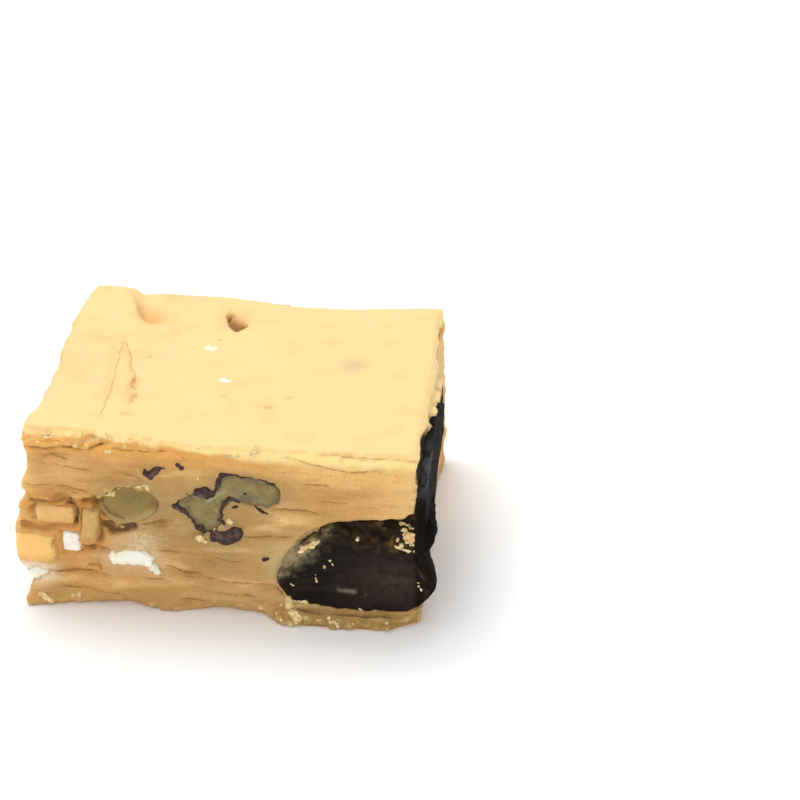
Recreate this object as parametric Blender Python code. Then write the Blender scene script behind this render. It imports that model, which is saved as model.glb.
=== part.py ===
"""One square of caramel-coloured fudge with what was stirred into it.

The square was cut from a poured slab with a knife. Its top is the smooth poured surface, and its
four walls are cut faces that pass through chopped walnut, marshmallow, blond caramel bits and a
large dark chocolate chunk. Each of those is a solid of its own in a pocket of the fudge.

Metres, +Z up. The front face looks along -Y. The origin is the middle of the base.
"""

import math
import random

import bmesh
import bpy
from mathutils import Euler, Matrix, Vector, noise

MM = 0.001

# Driving dimensions of the square
WIDTH = 50.0 * MM
DEPTH = 41.4 * MM
HEIGHT = 25.6 * MM
TOP_ROUND = 0.9 * MM
FOOT_ROUND = 0.35 * MM
FOOT_REACH = 2.2 * MM  # the foot of squashed fudge stands this far out under the dark chunk
BLOCK_SHIFT = Vector((0.0, 0.8 * MM, 0.0))  # keeps the origin under the middle of the whole

# Places of the cut faces, in the block's own frame, before BLOCK_SHIFT
FRONT = -DEPTH / 2
BACK = DEPTH / 2
LEFT = -WIDTH / 2
RIGHT = WIDTH / 2

GAP = 0.3 * MM  # left all round each piece, so that touching solids stay apart
GRID_CUTS = 71
BLOCK_KEEP = 0.1  # share of the block's triangles that stay where it is nearly flat

FUDGE = ("fudge", (0.66, 0.38, 0.14), 0.5)
CHOCOLATE = ("chocolate", (0.022, 0.014, 0.011), 0.45)
WALNUT = ("walnut", (0.25, 0.20, 0.085), 0.6)
WALNUT_SKIN = ("walnut_skin", (0.045, 0.024, 0.018), 0.4)
MARSHMALLOW = ("marshmallow", (0.93, 0.84, 0.66), 0.7)
CARAMEL_BIT = ("caramel_bit", (0.80, 0.48, 0.18), 0.45)

# Creases in the front face, in mm: x from and to, height at both ends, sag of the middle,
# depth and half width
FRONT_CREASES = (
    (-25.5, -13.5, 24.0, 24.9, -0.5, 0.7, 0.30),
    (13.0, 24.6, 25.1, 24.8, 0.1, 0.4, 0.28),
    (-27.5, -14.8, 16.4, 16.4, -0.1, 1.3, 0.55),
    (-15.8, -6.5, 12.8, 13.3, -0.4, 1.0, 0.45),
    (-19.5, -14.2, 8.4, 8.6, 0.4, 0.8, 0.45),
    (-6.5, 3.0, 9.1, 8.5, -0.5, 0.5, 0.28),
    (-8.0, -3.0, 6.8, 6.0, 0.0, 0.5, 0.26),
    (0.5, 7.4, 4.9, 3.7, 0.3, 0.6, 0.28),
    (-1.2, 3.8, 2.9, 2.7, 0.1, 0.4, 0.26),
    (-22.8, -15.8, 5.0, 4.9, 0.3, 0.6, 0.30),
    (7.4, 11.4, 16.8, 16.5, 0.1, 0.5, 0.28),
)

# Cracks in the poured top, in mm: x and y of both ends, depth and half width
TOP_CRACKS = (
    (-18.4, 6.0, -16.0, -14.0, 0.35, 0.45),
    (-18.4, 6.0, -14.6, -4.2, 0.35, 0.40),
    (-14.2, -4.0, -13.2, -11.4, 0.70, 0.40),
)

# Where the foot of the front face steps out or in along the board, in mm: x, reach and step
FOOT_WAVES = (
    (-24.3, 3.4, 1.7),
    (-13.6, 2.6, -0.9),
    (-7.6, 2.0, 0.5),
    (-0.6, 2.2, -0.8),
)


def clear_scene():
    for old in list(bpy.data.objects):
        bpy.data.objects.remove(old, do_unlink=True)


def collection(name):
    made = bpy.data.collections.new(name)
    bpy.context.scene.collection.children.link(made)
    return made


def material(finish):
    """A Principled material for one finish, made once and shared."""
    name, colour, roughness = finish
    made = bpy.data.materials.get(name)
    if made is None:
        made = bpy.data.materials.new(name)
        made.use_nodes = True
        shader = made.node_tree.nodes["Principled BSDF"]
        shader.inputs["Base Color"].default_value = (*colour, 1.0)
        shader.inputs["Roughness"].default_value = roughness
        shader.inputs["Metallic"].default_value = 0.0
    return made


def bell(value, middle, reach):
    """1 at the middle, fading to nothing about twice the reach away."""
    return math.exp(-(((value - middle) / reach) ** 2))


def ramp(low, high, value):
    """0 below low, 1 above high, smooth between."""
    share = min(1.0, max(0.0, (value - low) / (high - low)))
    return share * share * (3.0 - 2.0 * share)


def grain(point, size, seed=0.0):
    """Smooth noise from -1 to 1 with lumps of about that size."""
    return noise.noise(Vector(point) / size + Vector((seed, 1.7 * seed, -seed)))


def mm(x, y, z):
    """Millimetres into metres."""
    return x * MM, y * MM, z * MM


# The block of fudge


def rounded(point):
    """A point on the sharp box, moved onto the same box with rounded edges."""
    turn = FOOT_ROUND + (TOP_ROUND - FOOT_ROUND) * ramp(0.0, HEIGHT, point.z)
    inner = Vector(
        (
            max(LEFT + turn, min(RIGHT - turn, point.x)),
            max(FRONT + turn, min(BACK - turn, point.y)),
            max(turn, min(HEIGHT - turn, point.z)),
        )
    )
    return inner + (point - inner).normalized() * turn


def left_wall(y, z):
    """How far the left wall stands out: a belly low down, a pinch under the upper slab."""
    belly = 1.6 * MM * bell(z, 10.5 * MM, 5.0 * MM)
    lower = 0.9 * MM * (1.0 - ramp(4 * MM, 15 * MM, z))
    pinch = -1.0 * MM * bell(z, 16.4 * MM, 1.1 * MM)
    foot = 1.0 * MM * bell(z, 0.0, 1.9 * MM)
    waist = -0.5 * MM * bell(z, 3.8 * MM, 1.2 * MM)
    shoulder = 1.5 * MM * bell(y, 11 * MM, 15 * MM) * ramp(13 * MM, 22 * MM, z)
    behind = 1.0 - 0.45 * ramp(-12 * MM, 8 * MM, y)
    return (belly + lower + pinch + foot + waist) * behind + shoulder


def right_wall(y, z):
    return 0.4 * MM * bell(z, 4 * MM, 5 * MM) - 0.4 * MM * bell(y, 14 * MM, 6 * MM)


def crease(x, z):
    """How deep the creases of the front face are at this place."""
    deep = 0.0
    for start, end, low, high, sag, depth, width in FRONT_CREASES:
        share = (x / MM - start) / (end - start)
        if 0.0 < share < 1.0:
            height = low + (high - low) * share + 4.0 * sag * share * (1.0 - share)
            height += 0.35 * grain((x, 0.0, 0.0), 2.1 * MM, start)
            ends = ramp(0.0, 0.18, share) * (1.0 - ramp(0.82, 1.0, share))
            deep = max(deep, depth * MM * ends * bell(z / MM, height, width))
    return deep


def front_wall(x, z):
    """How far the front stands out: a full upper slab, a hollow band below it and the foot."""
    slab = 0.35 * MM * ramp(15.5 * MM, 18 * MM, z) * bell(z, 20 * MM, 7 * MM)
    band = -0.7 * MM * bell(z, 14 * MM, 2.2 * MM) * bell(x, -13 * MM, 14 * MM)
    ledge = 0.5 * MM * bell(z, 7 * MM, 3 * MM) * bell(x, -2 * MM, 9 * MM)
    spread = ramp(3.8 * MM, 7.6 * MM, x) * (1.0 - ramp(20.8 * MM, 25.2 * MM, x))
    foot = FOOT_REACH * spread * bell(z, 0.2 * MM, 1.9 * MM)
    for middle, reach, step in FOOT_WAVES:
        foot += step * MM * bell(x, middle * MM, reach * MM) * bell(z, 0.0, 1.6 * MM)
    return slab + band + ledge + foot - crease(x, z)


def back_wall(x, z):
    return 0.5 * MM * bell(z, 6 * MM, 5 * MM) - 0.7 * MM * ramp(-5 * MM, 6 * MM, x)


def top_crack(x, y):
    """How deep the cracks of the poured top are at this place."""
    deep = 0.0
    for x_1, y_1, x_2, y_2, depth, width in TOP_CRACKS:
        share = (y / MM - y_1) / (y_2 - y_1)
        if 0.0 < share < 1.0:
            line = x_1 + (x_2 - x_1) * share + 0.3 * grain((0.0, y, 0.0), 3 * MM, x_2)
            ends = ramp(0.0, 0.1, share) * (1.0 - ramp(0.9, 1.0, share))
            deep = max(deep, depth * MM * ends * bell(x / MM, line, width))
    return deep


def top_height(x, y):
    """How far the poured top lies above or below HEIGHT."""
    behind = ramp(6 * MM, 20 * MM, y)
    dip = -1.0 * MM * bell(x, 7 * MM, 11 * MM) * behind
    lift = 1.4 * MM * (1.0 - ramp(-15 * MM, -3 * MM, x)) * bell(y, FRONT, 7 * MM)
    fold_edge = -19.5 * MM + 0.30 * (BACK - y)
    fold = 0.8 * MM * (1.0 - ramp(-0.5 * MM, 0.7 * MM, x - fold_edge)) * ramp(8 * MM, 13 * MM, y)
    notch = -0.9 * MM * bell(x, -16.6 * MM, 1.3 * MM) * bell(y, 13.6 * MM, 1.9 * MM)
    hole = -2.2 * MM * bell(x, -3.8 * MM, 0.9 * MM) * bell(y, 13.2 * MM, 1.7 * MM)
    hollow = -0.35 * MM * bell(x, 9.5 * MM, 1.4 * MM) * bell(y, 11.0 * MM, 3.0 * MM)
    dimple = -0.3 * MM * bell(x, 4.5 * MM, 1.6 * MM) * bell(y, -10.3 * MM, 1.6 * MM)
    return dip + lift + fold + notch + hole + hollow + dimple - top_crack(x, y)


def shaped(point):
    """The cut square's true surface, from a point of the rounded box."""
    x, y, z = point
    side = abs(x) / (WIDTH / 2)
    ahead = -y / (DEPTH / 2)
    high = z / HEIGHT
    moved = Vector(point)
    if x < 0:
        moved.x -= left_wall(y, z) * ramp(0.5, 1.0, side)
    else:
        moved.x += right_wall(y, z) * ramp(0.5, 1.0, side)
    if y < 0:
        moved.y -= front_wall(x, z) * ramp(0.75, 1.0, ahead)
    else:
        moved.y += back_wall(x, z) * ramp(0.6, 1.0, -ahead)
    moved.z += top_height(x, y) * ramp(0.75, 1.0, high)
    return moved


def torn(point, normal):
    """Small relief: soft waves on top, level strata and crags on the four cut walls."""
    upward = ramp(0.5, 0.95, normal.z)
    waves = 0.16 * MM * grain(point, 9 * MM) * upward
    level = Vector((point.x * 0.22, point.y * 0.22, point.z))
    strata = 0.28 * MM * grain(level, 1.7 * MM, 3.1) * (1.0 - upward)
    crags = 0.26 * MM * grain(point, 3.2 * MM, 8.4) * (1.0 - upward)
    return point + normal * (waves + strata + crags)


def block():
    """The fudge before any pocket is cut: a closed mesh, thinned where it is nearly flat."""
    bm = bmesh.new()
    bmesh.ops.create_cube(bm, size=1.0)
    bmesh.ops.subdivide_edges(bm, edges=bm.edges, cuts=GRID_CUTS, use_grid_fill=True)
    for vertex in bm.verts:
        box = Vector((vertex.co.x * WIDTH, vertex.co.y * DEPTH, (vertex.co.z + 0.5) * HEIGHT))
        vertex.co = shaped(rounded(box))
    bm.normal_update()
    relief = [torn(vertex.co, vertex.normal) for vertex in bm.verts]
    for vertex, spot in zip(bm.verts, relief):
        standing = vertex.co.z < 0.05 * MM
        vertex.co = spot + BLOCK_SHIFT
        vertex.co.z = 0.0 if standing else max(0.0, vertex.co.z)
    return thinned(mesh_object("fudge", bm, FUDGE), BLOCK_KEEP)


# Making, cutting and joining meshes


def mesh_object(name, bm, finish, where=None):
    """A new object from a bmesh, in the model's collection unless another is given."""
    mesh = bpy.data.meshes.new(name)
    bm.to_mesh(mesh)
    bm.free()
    mesh.shade_smooth()
    mesh.set_sharp_from_angle(angle=math.radians(40))
    mesh.materials.append(material(finish))
    made = bpy.data.objects.new(name, mesh)
    (where or MODEL).objects.link(made)
    return made


def applied(piece):
    """The piece with its modifiers worked into its mesh."""
    graph = bpy.context.evaluated_depsgraph_get()
    mesh = bpy.data.meshes.new_from_object(piece.evaluated_get(graph))
    piece.modifiers.clear()
    piece.data = mesh
    return piece


def thinned(piece, keep):
    """The piece with that share of its triangles, fewest where it is nearly flat."""
    thin = piece.modifiers.new("thin", "DECIMATE")
    thin.ratio = keep
    thin.use_collapse_triangulate = True
    return applied(piece)


def boolean(piece, others, operation):
    """Cuts a collection's objects out of a piece, or joins them to it."""
    step = piece.modifiers.new(operation.lower(), "BOOLEAN")
    step.operation = operation
    step.operand_type = "COLLECTION"
    step.collection = others
    return applied(piece)


def taken_out(piece):
    """The piece's mesh as a bmesh, with the object gone."""
    bm = bmesh.new()
    bm.from_mesh(piece.data)
    bpy.data.objects.remove(piece)
    return bm


def joined_lobes():
    """All lobes as one body, as a bmesh, with their collection left empty."""
    first = LOBES.objects[0]
    LOBES.objects.unlink(first)
    MODEL.objects.link(first)
    boolean(first, LOBES, "UNION")
    for used in list(LOBES.objects):
        bpy.data.objects.remove(used)
    return taken_out(first)


def lump(radii, seed, square=1.0, uneven=0.12, detail=2, arch=0.0):
    """A lumpy pebble as a bmesh round the origin. A square below 1 makes it boxy, and an arch
    bends its ends down by that share of its height."""
    bm = bmesh.new()
    bmesh.ops.create_icosphere(bm, subdivisions=detail, radius=1.0)
    spread = sum(radii) / 3
    for vertex in bm.verts:
        unit = vertex.co.normalized()
        boxy = Vector([math.copysign(abs(c) ** square, c) for c in unit])
        spot = Vector([c * r for c, r in zip(boxy, radii)])
        spot *= 1.0 + uneven * grain(spot, spread * 0.9, seed)
        spot.z -= arch * radii[2] * (spot.x / radii[0]) ** 2
        vertex.co = spot
    return bm


def brick(radii, seed, cuts=3):
    """A small block with rounded edges and slightly uneven faces as a bmesh."""
    bm = bmesh.new()
    bmesh.ops.create_cube(bm, size=2.0)
    bmesh.ops.subdivide_edges(bm, edges=bm.edges, cuts=cuts, use_grid_fill=True)
    soft = 0.42 * min(radii)
    for vertex in bm.verts:
        sharp = Vector([c * r for c, r in zip(vertex.co, radii)])
        inner = Vector([max(soft - r, min(r - soft, c)) for c, r in zip(sharp, radii)])
        spot = inner + (sharp - inner).normalized() * soft
        vertex.co = spot * (1.0 + 0.1 * grain(spot, 1.8 * MM, seed))
    bmesh.ops.triangulate(bm, faces=bm.faces[:])
    return bm


def grown(bm, by):
    """A copy of a bmesh with every point moved out by that much."""
    copy = bm.copy()
    copy.normal_update()
    for vertex in copy.verts:
        vertex.co += vertex.normal * by
    return copy


def cut_flat(bm, point, normal):
    """Takes away what lies beyond a plane, and closes the cut: the face that the knife left."""
    everything = bm.verts[:] + bm.edges[:] + bm.faces[:]
    cut = bmesh.ops.bisect_plane(
        bm, geom=everything, plane_co=Vector(point) + BLOCK_SHIFT, plane_no=normal,
        clear_outer=True,
    )
    rim = [item for item in cut["geom_cut"] if isinstance(item, bmesh.types.BMEdge)]
    if rim:
        bmesh.ops.edgeloop_fill(bm, edges=rim)
    bmesh.ops.triangulate(bm, faces=bm.faces[:])


def put(bm, middle, turn=(0, 0, 0)):
    """Turns a bmesh by degrees about X, Y and Z and moves it to its place in the block."""
    angles = Euler([math.radians(a) for a in turn])
    bm.transform(Matrix.Translation(Vector(middle) + BLOCK_SHIFT) @ angles.to_matrix().to_4x4())
    return bm


def inclusion(name, finish, bm, knives=()):
    """One stirred-in piece with flat cut faces, and the pocket that it sits in."""
    mesh_object(name + "_pocket", grown(bm, GAP), finish, POCKETS)
    for point, normal in knives:
        cut_flat(bm, point, normal)
    return mesh_object(name, bm, finish)


def knife_front(stand_out=0.0):
    """The plane of the front cut, as cut_flat takes it. It may stand out by some mm."""
    return (0.0, FRONT - stand_out * MM, 0.0), (0.0, -1.0, 0.0)


def knife_back(stand_out=0.0):
    return (0.0, BACK + stand_out * MM, 0.0), (0.0, 1.0, 0.0)


def knife_left(stand_out=0.0):
    return (LEFT - stand_out * MM, 0.0, 0.0), (-1.0, 0.0, 0.0)


def knife_right(stand_out=0.0):
    return (RIGHT + stand_out * MM, 0.0, 0.0), (1.0, 0.0, 0.0)


# The dark chunk, in mm: a wedge in the front face that thickens to the right, and a blade of
# the same chunk that reaches up the right wall

WEDGE_TIP = 6.5
WEDGE_END = 27.4
WEDGE_FRONT = -27.0
WEDGE_BACK = 4.0
WEDGE_BREAK = (20.0, 12.6)  # x and height at which its front upper edge is broken back
BLADE_MIDDLE = (26.0, -8.0, 14.4)
BLADE_RADII = (1.9, 14.8, 9.4)
BLADE_OUT = 0.9


def wedge_low(x):
    return 1.5 + 4.8 * math.exp(-(x - WEDGE_TIP) / 1.4) + 1.7 * ramp(22.0, 27.5, x)


def wedge_high(x):
    return 6.3 + 9.6 * (1.0 - math.exp(-(x - WEDGE_TIP) / 3.6)) + 1.2 * ramp(21.0, 26.0, x)


def wedge():
    """The wedge lobe: a boxy lump whose under and upper faces follow the two curves above."""
    bm = lump((1.0, 1.0, 1.0), 4.0, square=0.42, uneven=0.0, detail=4)
    for vertex in bm.verts:
        u, v, w = [(c + 1.0) / 2.0 for c in vertex.co]
        x = WEDGE_TIP + u * (WEDGE_END - WEDGE_TIP)
        y = WEDGE_FRONT + v * (WEDGE_BACK - WEDGE_FRONT)
        z = max(wedge_low(x), 0.9) + w * (wedge_high(x) - wedge_low(x))
        set_in = 0.9 * bell(z, 10.4, 1.9) + 1.7 * ramp(-19.0, -13.0, y)
        x -= set_in * ramp(20.0, 27.0, x)
        spot = Vector(mm(x, y, z))
        uneven = [0.25 * MM * grain(spot, 3.5 * MM, seed) for seed in (2.0, 5.0, 8.0)]
        vertex.co = spot + Vector(uneven)
    return put(taken_out(thinned(mesh_object("wedge", bm, CHOCOLATE), 0.3)), (0.0, 0.0, 0.0))


def chunk():
    """The chocolate chunk, cut flat by the knife on two sides and broken back at the top."""
    blade = lump(mm(*BLADE_RADII), 9.0, square=0.5, uneven=0.04, detail=3)
    blade = put(blade, mm(*BLADE_MIDDLE))
    lobe = wedge()
    for number, bm in enumerate((lobe, blade)):
        mesh_object(f"chunk_pocket_{number}", grown(bm, GAP), CHOCOLATE, POCKETS)
    x, z = WEDGE_BREAK
    cut_flat(lobe, mm(x, FRONT / MM - 0.35, z), (-0.15, -0.74, 0.65))
    cut_flat(blade, *knife_right(BLADE_OUT))
    for number, bm in enumerate((lobe, blade)):
        mesh_object(f"chunk_lobe_{number}", bm, CHOCOLATE, LOBES)
    bm = joined_lobes()
    cut_flat(bm, *knife_front(0.35))
    return mesh_object("chocolate_chunk", bm, CHOCOLATE)


# The walnut that the knife went through, in mm: middle x and z, radii along x and z

WALNUT_LOBES = (
    (-3.0, 16.4, 2.6, 1.8),
    (-1.9, 14.9, 1.7, 1.9),
    (-0.4, 17.7, 1.6, 1.2),
    (1.3, 19.6, 1.9, 1.95),
    (4.0, 19.2, 2.6, 2.0),
    (5.8, 18.7, 1.9, 1.7),
)
WALNUT_DEPTH = 4.2


def walnut():
    """One half kernel: overlapping lobes made one and cut flat by the knife."""
    for number, (x, z, wide, tall) in enumerate(WALNUT_LOBES):
        bm = lump(mm(wide, WALNUT_DEPTH, tall), 7.0 + number, uneven=0.06)
        put(bm, mm(x, FRONT / MM + 0.8, z))
        mesh_object(f"walnut_pocket_{number}", grown(bm, GAP), WALNUT, POCKETS)
        mesh_object(f"walnut_lobe_{number}", bm, WALNUT, LOBES)
    bm = joined_lobes()
    cut_flat(bm, *knife_front(0.2))
    return mesh_object("walnut", bm, WALNUT)


def front_pieces():
    """What shows in the front face, from the top down."""
    face = FRONT / MM
    kernel = put(lump(mm(3.8, 3.6, 2.8), 1.0, uneven=0.06), mm(-11.8, face + 1.7, 15.9), (0, -6, 0))
    inclusion("walnut_round", WALNUT, kernel, [knife_front(-0.5)])
    skin = put(lump(mm(2.3, 2.2, 1.35), 2.0, uneven=0.2), mm(0.4, face + 0.9, 12.0), (0, -14, 0))
    inclusion("walnut_skin", WALNUT_SKIN, skin, [knife_front(0.3)])
    soft = lump(mm(3.6, 3.0, 1.35), 3.0, uneven=0.16, arch=0.9)
    soft = put(soft, mm(-11.9, face + 1.3, 8.3), (0, 4, 0))
    inclusion("marshmallow", MARSHMALLOW, soft, [knife_front(0.8)])
    corner = put(lump(mm(2.0, 2.2, 1.3), 4.0, uneven=0.12), mm(-24.9, face + 1.4, 5.0), (0, -32, 0))
    inclusion("marshmallow_corner", MARSHMALLOW, corner)
    cube = put(brick(mm(1.1, 1.5, 1.45), 5.0), mm(-20.1, face + 1.3, 9.8), (0, 4, 6))
    inclusion("marshmallow_cube", MARSHMALLOW, cube)
    bar = put(brick(mm(2.45, 2.2, 1.3), 6.0), mm(-21.7, face + 1.3, 14.3), (0, 3, 5))
    inclusion("caramel_bit_a", CARAMEL_BIT, bar)
    stub = put(brick(mm(2.3, 2.4, 2.4), 7.0), mm(-24.4, face + 1.5, 8.9), (0, 4, 8))
    inclusion("caramel_bit_b", CARAMEL_BIT, stub)
    upright = put(brick(mm(1.1, 1.8, 2.6), 8.0), mm(-17.2, face + 1.2, 12.5), (0, 8, -5))
    inclusion("caramel_bit_c", CARAMEL_BIT, upright)


def other_pieces():
    """What shows in the left wall and the back."""
    back = BACK / MM
    left = LEFT / MM
    nut = put(lump(mm(3.4, 4.6, 2.9), 9.0, uneven=0.14), mm(left + 1.4, 6.0, 15.0), (12, 0, 0))
    inclusion("walnut_left", WALNUT, nut, [knife_left(0.9)])
    dark = put(lump(mm(3.2, 4.4, 2.6), 10.0, square=0.7), mm(left + 1.0, -8.0, 9.5), (-10, 0, 0))
    inclusion("chocolate_left", CHOCOLATE, dark, [knife_left(1.9)])
    nut = put(lump(mm(5.2, 3.8, 3.1), 11.0, uneven=0.14), mm(-9.5, back - 1.6, 16.0), (0, 9, 0))
    inclusion("walnut_back", WALNUT, nut, [knife_back(0.3)])
    soft = put(lump(mm(4.3, 3.4, 2.2), 12.0), mm(4.5, back - 1.9, 8.0), (0, -10, 0))
    inclusion("marshmallow_back", MARSHMALLOW, soft, [knife_back(0.0)])
    dark = put(lump(mm(5.6, 4.6, 3.4), 13.0, square=0.7), mm(14.5, back - 2.6, 15.5), (0, 12, 0))
    inclusion("chocolate_back", CHOCOLATE, dark, [knife_back(-0.3)])


# Empty hollows, in mm: middle, radii and turn about Y
HOLLOWS = (
    ((-20.5, -20.9, 12.2), (5.1, 2.3, 4.2), 0),
    ((-15.6, -20.8, 13.8), (0.8, 2.2, 2.9), 12),
)


def hollows():
    """The torn place that the blond bits stand in, and the crevice beside the round kernel."""
    for number, (middle, radii, turn) in enumerate(HOLLOWS):
        bm = put(lump(mm(*radii), 20.0 + number, square=0.8), mm(*middle), (0, turn, 0))
        mesh_object(f"hollow_{number}", bm, FUDGE, POCKETS)


# Chips too small for a solid of their own, fused to the fudge, in mm: x, z and size

FRONT_CHIPS = (
    (-8.5, 21.0, 1.0),
    (-7.2, 21.3, 0.6),
    (-4.8, 22.3, 0.7),
    (5.4, 9.1, 0.55),
    (-2.9, 11.7, 0.7),
    (4.4, 25.3, 0.8),
    (-13.9, 18.3, 0.6),
    (-10.6, 19.1, 0.8),
    (-25.4, 12.5, 1.2),
    (-24.2, 1.3, 0.9),
)
FOOT_CHIPS = 8


def chips():
    """Dark chips and pale flakes on the front, and crumbs along the foot under the chunk."""
    draw = random.Random(11)
    for x, z, size in FRONT_CHIPS:
        chip(x, FRONT / MM - 0.1, z, size, draw)
    for step in range(FOOT_CHIPS):
        x = 6.8 + (step + draw.uniform(0.0, 0.8)) * 14.5 / FOOT_CHIPS
        out = draw.uniform(0.55, 0.8) * FOOT_REACH / MM
        chip(x, FRONT / MM - out, draw.uniform(1.5, 1.9), draw.uniform(0.5, 1.1), draw)


def chip(x, y, z, size, draw):
    """One crumb-shaped flake."""
    radii = [size * draw.uniform(0.6, 1.1) for _ in range(3)]
    bm = lump(mm(*radii), draw.uniform(0, 50), square=0.75, uneven=0.2, detail=1)
    put(bm, mm(x, y, z), [draw.uniform(-40, 40) for _ in range(3)])
    mesh_object("chip", bm, FUDGE, CHIPS)


def helpers_hidden(group):
    for helper in group.objects:
        helper.hide_render = True
        helper.display_type = "WIRE"


clear_scene()
MODEL = collection("fudge_square")
POCKETS = collection("pockets")
LOBES = collection("lobes")
CHIPS = collection("chips")

fudge = block()
chunk()
walnut()
front_pieces()
other_pieces()
hollows()
chips()
boolean(fudge, CHIPS, "UNION")
for fused in list(CHIPS.objects):
    bpy.data.objects.remove(fused)
boolean(fudge, POCKETS, "DIFFERENCE")
helpers_hidden(POCKETS)
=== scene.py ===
# %% [markdown]
# # A square of fudge with walnuts, marshmallow and dark chocolate
# The solids come from model.glb: a block of fudge and fifteen pieces that were stirred into it.
# This lesson gives each of them the fine surface and the finish that a close photograph shows.
# The method is the same for all: copy the solid, remesh the copy into small even faces, push its
# points in and out by rules, and paint it with a material that reads the same rules.

import math
import random
from collections import namedtuple

import bmesh
import bpy
import numpy as np
from mathutils import Matrix, Vector, noise
from mathutils.bvhtree import BVHTree


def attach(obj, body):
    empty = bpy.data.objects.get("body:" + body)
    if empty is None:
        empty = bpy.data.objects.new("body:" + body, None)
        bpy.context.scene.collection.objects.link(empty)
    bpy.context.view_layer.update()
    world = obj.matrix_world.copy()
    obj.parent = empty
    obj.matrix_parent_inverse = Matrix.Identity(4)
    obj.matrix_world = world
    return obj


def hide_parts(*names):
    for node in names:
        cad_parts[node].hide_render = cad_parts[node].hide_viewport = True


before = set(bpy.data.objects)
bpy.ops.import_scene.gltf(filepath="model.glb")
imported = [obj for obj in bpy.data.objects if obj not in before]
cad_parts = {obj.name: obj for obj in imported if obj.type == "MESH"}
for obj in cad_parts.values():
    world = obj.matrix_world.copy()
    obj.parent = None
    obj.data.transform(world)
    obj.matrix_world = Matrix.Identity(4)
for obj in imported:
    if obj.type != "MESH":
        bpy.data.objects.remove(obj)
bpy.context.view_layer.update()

# %% [markdown]
# ## Sizes and soft steps
# All rules below work in millimetres, on whole arrays of points at once. A bell is a soft bump, a
# ramp is a soft step, and grain is smooth noise. A stretch above 1 draws the noise out along an
# axis, which is how the level layers of the cut faces are made.

# %% Millimetres, bumps, steps and noise
MM = 0.001
FRONT = -19.9  # the cut front face
BACK = 21.5
LEFT = -25.0
RIGHT = 25.0
TOP = 25.6


def bell(value, middle, reach):
    return np.exp(-(((value - middle) / reach) ** 2))


def ramp(low, high, value):
    share = np.clip((value - low) / (high - low), 0.0, 1.0)
    return share * share * (3.0 - 2.0 * share)


def grain(points, size, seed=0.0, stretch=(1.0, 1.0, 1.0)):
    """Smooth noise from about -1 to 1 at every point, with lumps of that size in mm."""
    moved = points / (np.array(stretch) * size) + np.array((seed, 1.7 * seed, 3.1 - seed))
    return np.array([noise.noise(spot) for spot in moved.tolist()])


# %% [markdown]
# ## Drawing on a face
# Cracks are paths and cut pieces are outlines, both drawn on a face of the block. For every point
# the first rule finds the distance to a path, with a minus sign on its right side, so that a thin
# line stays sharp between the points of the mesh. The other tells how deep inside an outline it is.

# %% Distances to paths and outlines
def beside(across, up, path):
    """The distance to a path drawn on a face. It is negative on the path's right side."""
    best = np.full(len(across), 1e9)
    side = np.ones(len(across))
    for (x_1, y_1), (x_2, y_2) in zip(path, path[1:]):
        along_x, along_y = x_2 - x_1, y_2 - y_1
        share = ((across - x_1) * along_x + (up - y_1) * along_y) / (along_x**2 + along_y**2)
        share = np.clip(share, 0.0, 1.0)
        away = np.hypot(across - x_1 - share * along_x, up - y_1 - share * along_y)
        turn = along_x * (up - y_1) - along_y * (across - x_1)
        side = np.where(away < best, np.where(turn < 0.0, -1.0, 1.0), side)
        best = np.minimum(best, away)
    return best * side


def near(across, up, path):
    return np.abs(beside(across, up, path))


def inside(across, up, corners):
    """How far inside an outline each point is. It is negative outside."""
    ring = tuple(corners) + tuple(corners[:1])
    within = np.zeros(len(across), bool)
    for (x_1, y_1), (x_2, y_2) in zip(ring, ring[1:]):
        if y_1 != y_2:
            crossing = x_1 + (up - y_1) * (x_2 - x_1) / (y_2 - y_1)
            within ^= ((y_1 > up) != (y_2 > up)) & (across < crossing)
    return np.where(within, 1.0, -1.0) * near(across, up, ring)


# %% Soft spots and strokes
def blob(across, up, place, reach, wide=1.0, high=1.0):
    """A soft round or oval spot on a face, 1 in the middle."""
    return bell(np.hypot((across - place[0]) / wide, (up - place[1]) / high), 0.0, reach)


def stroke(across, up, path, reach):
    """A soft stroke along a path on a face, 1 on the path."""
    return bell(near(across, up, path), 0.0, reach)


# %% [markdown]
# ## From solid to fine mesh
# A CAD node is a mesh of loose triangles. Its copy is merged and run through a voxel Remesh
# modifier, which wraps it in even quads, so that small relief has points to move. A subdivision
# would keep the long thin triangles and their creases, so remeshing is the better way here.

# %% Copy, remesh and read back
picture = bpy.context.scene.collection


def new_object(name, mesh):
    made = bpy.data.objects.new(name, mesh)
    picture.objects.link(made)
    return made


def evaluated(obj):
    """The object's mesh with its modifiers worked in, and the modifiers gone."""
    graph = bpy.context.evaluated_depsgraph_get()
    mesh = bpy.data.meshes.new_from_object(obj.evaluated_get(graph))
    obj.modifiers.clear()
    obj.data = mesh
    return obj


def remeshed(obj, voxel):
    step = obj.modifiers.new("even faces", "REMESH")
    step.mode = "VOXEL"
    step.voxel_size = voxel * MM
    step.use_smooth_shade = True
    return evaluated(obj)


def smoothed(obj, rounds):
    if rounds:
        step = obj.modifiers.new("soften", "SMOOTH")
        step.factor = 0.5
        step.iterations = rounds
        evaluated(obj)
    return obj


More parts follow.
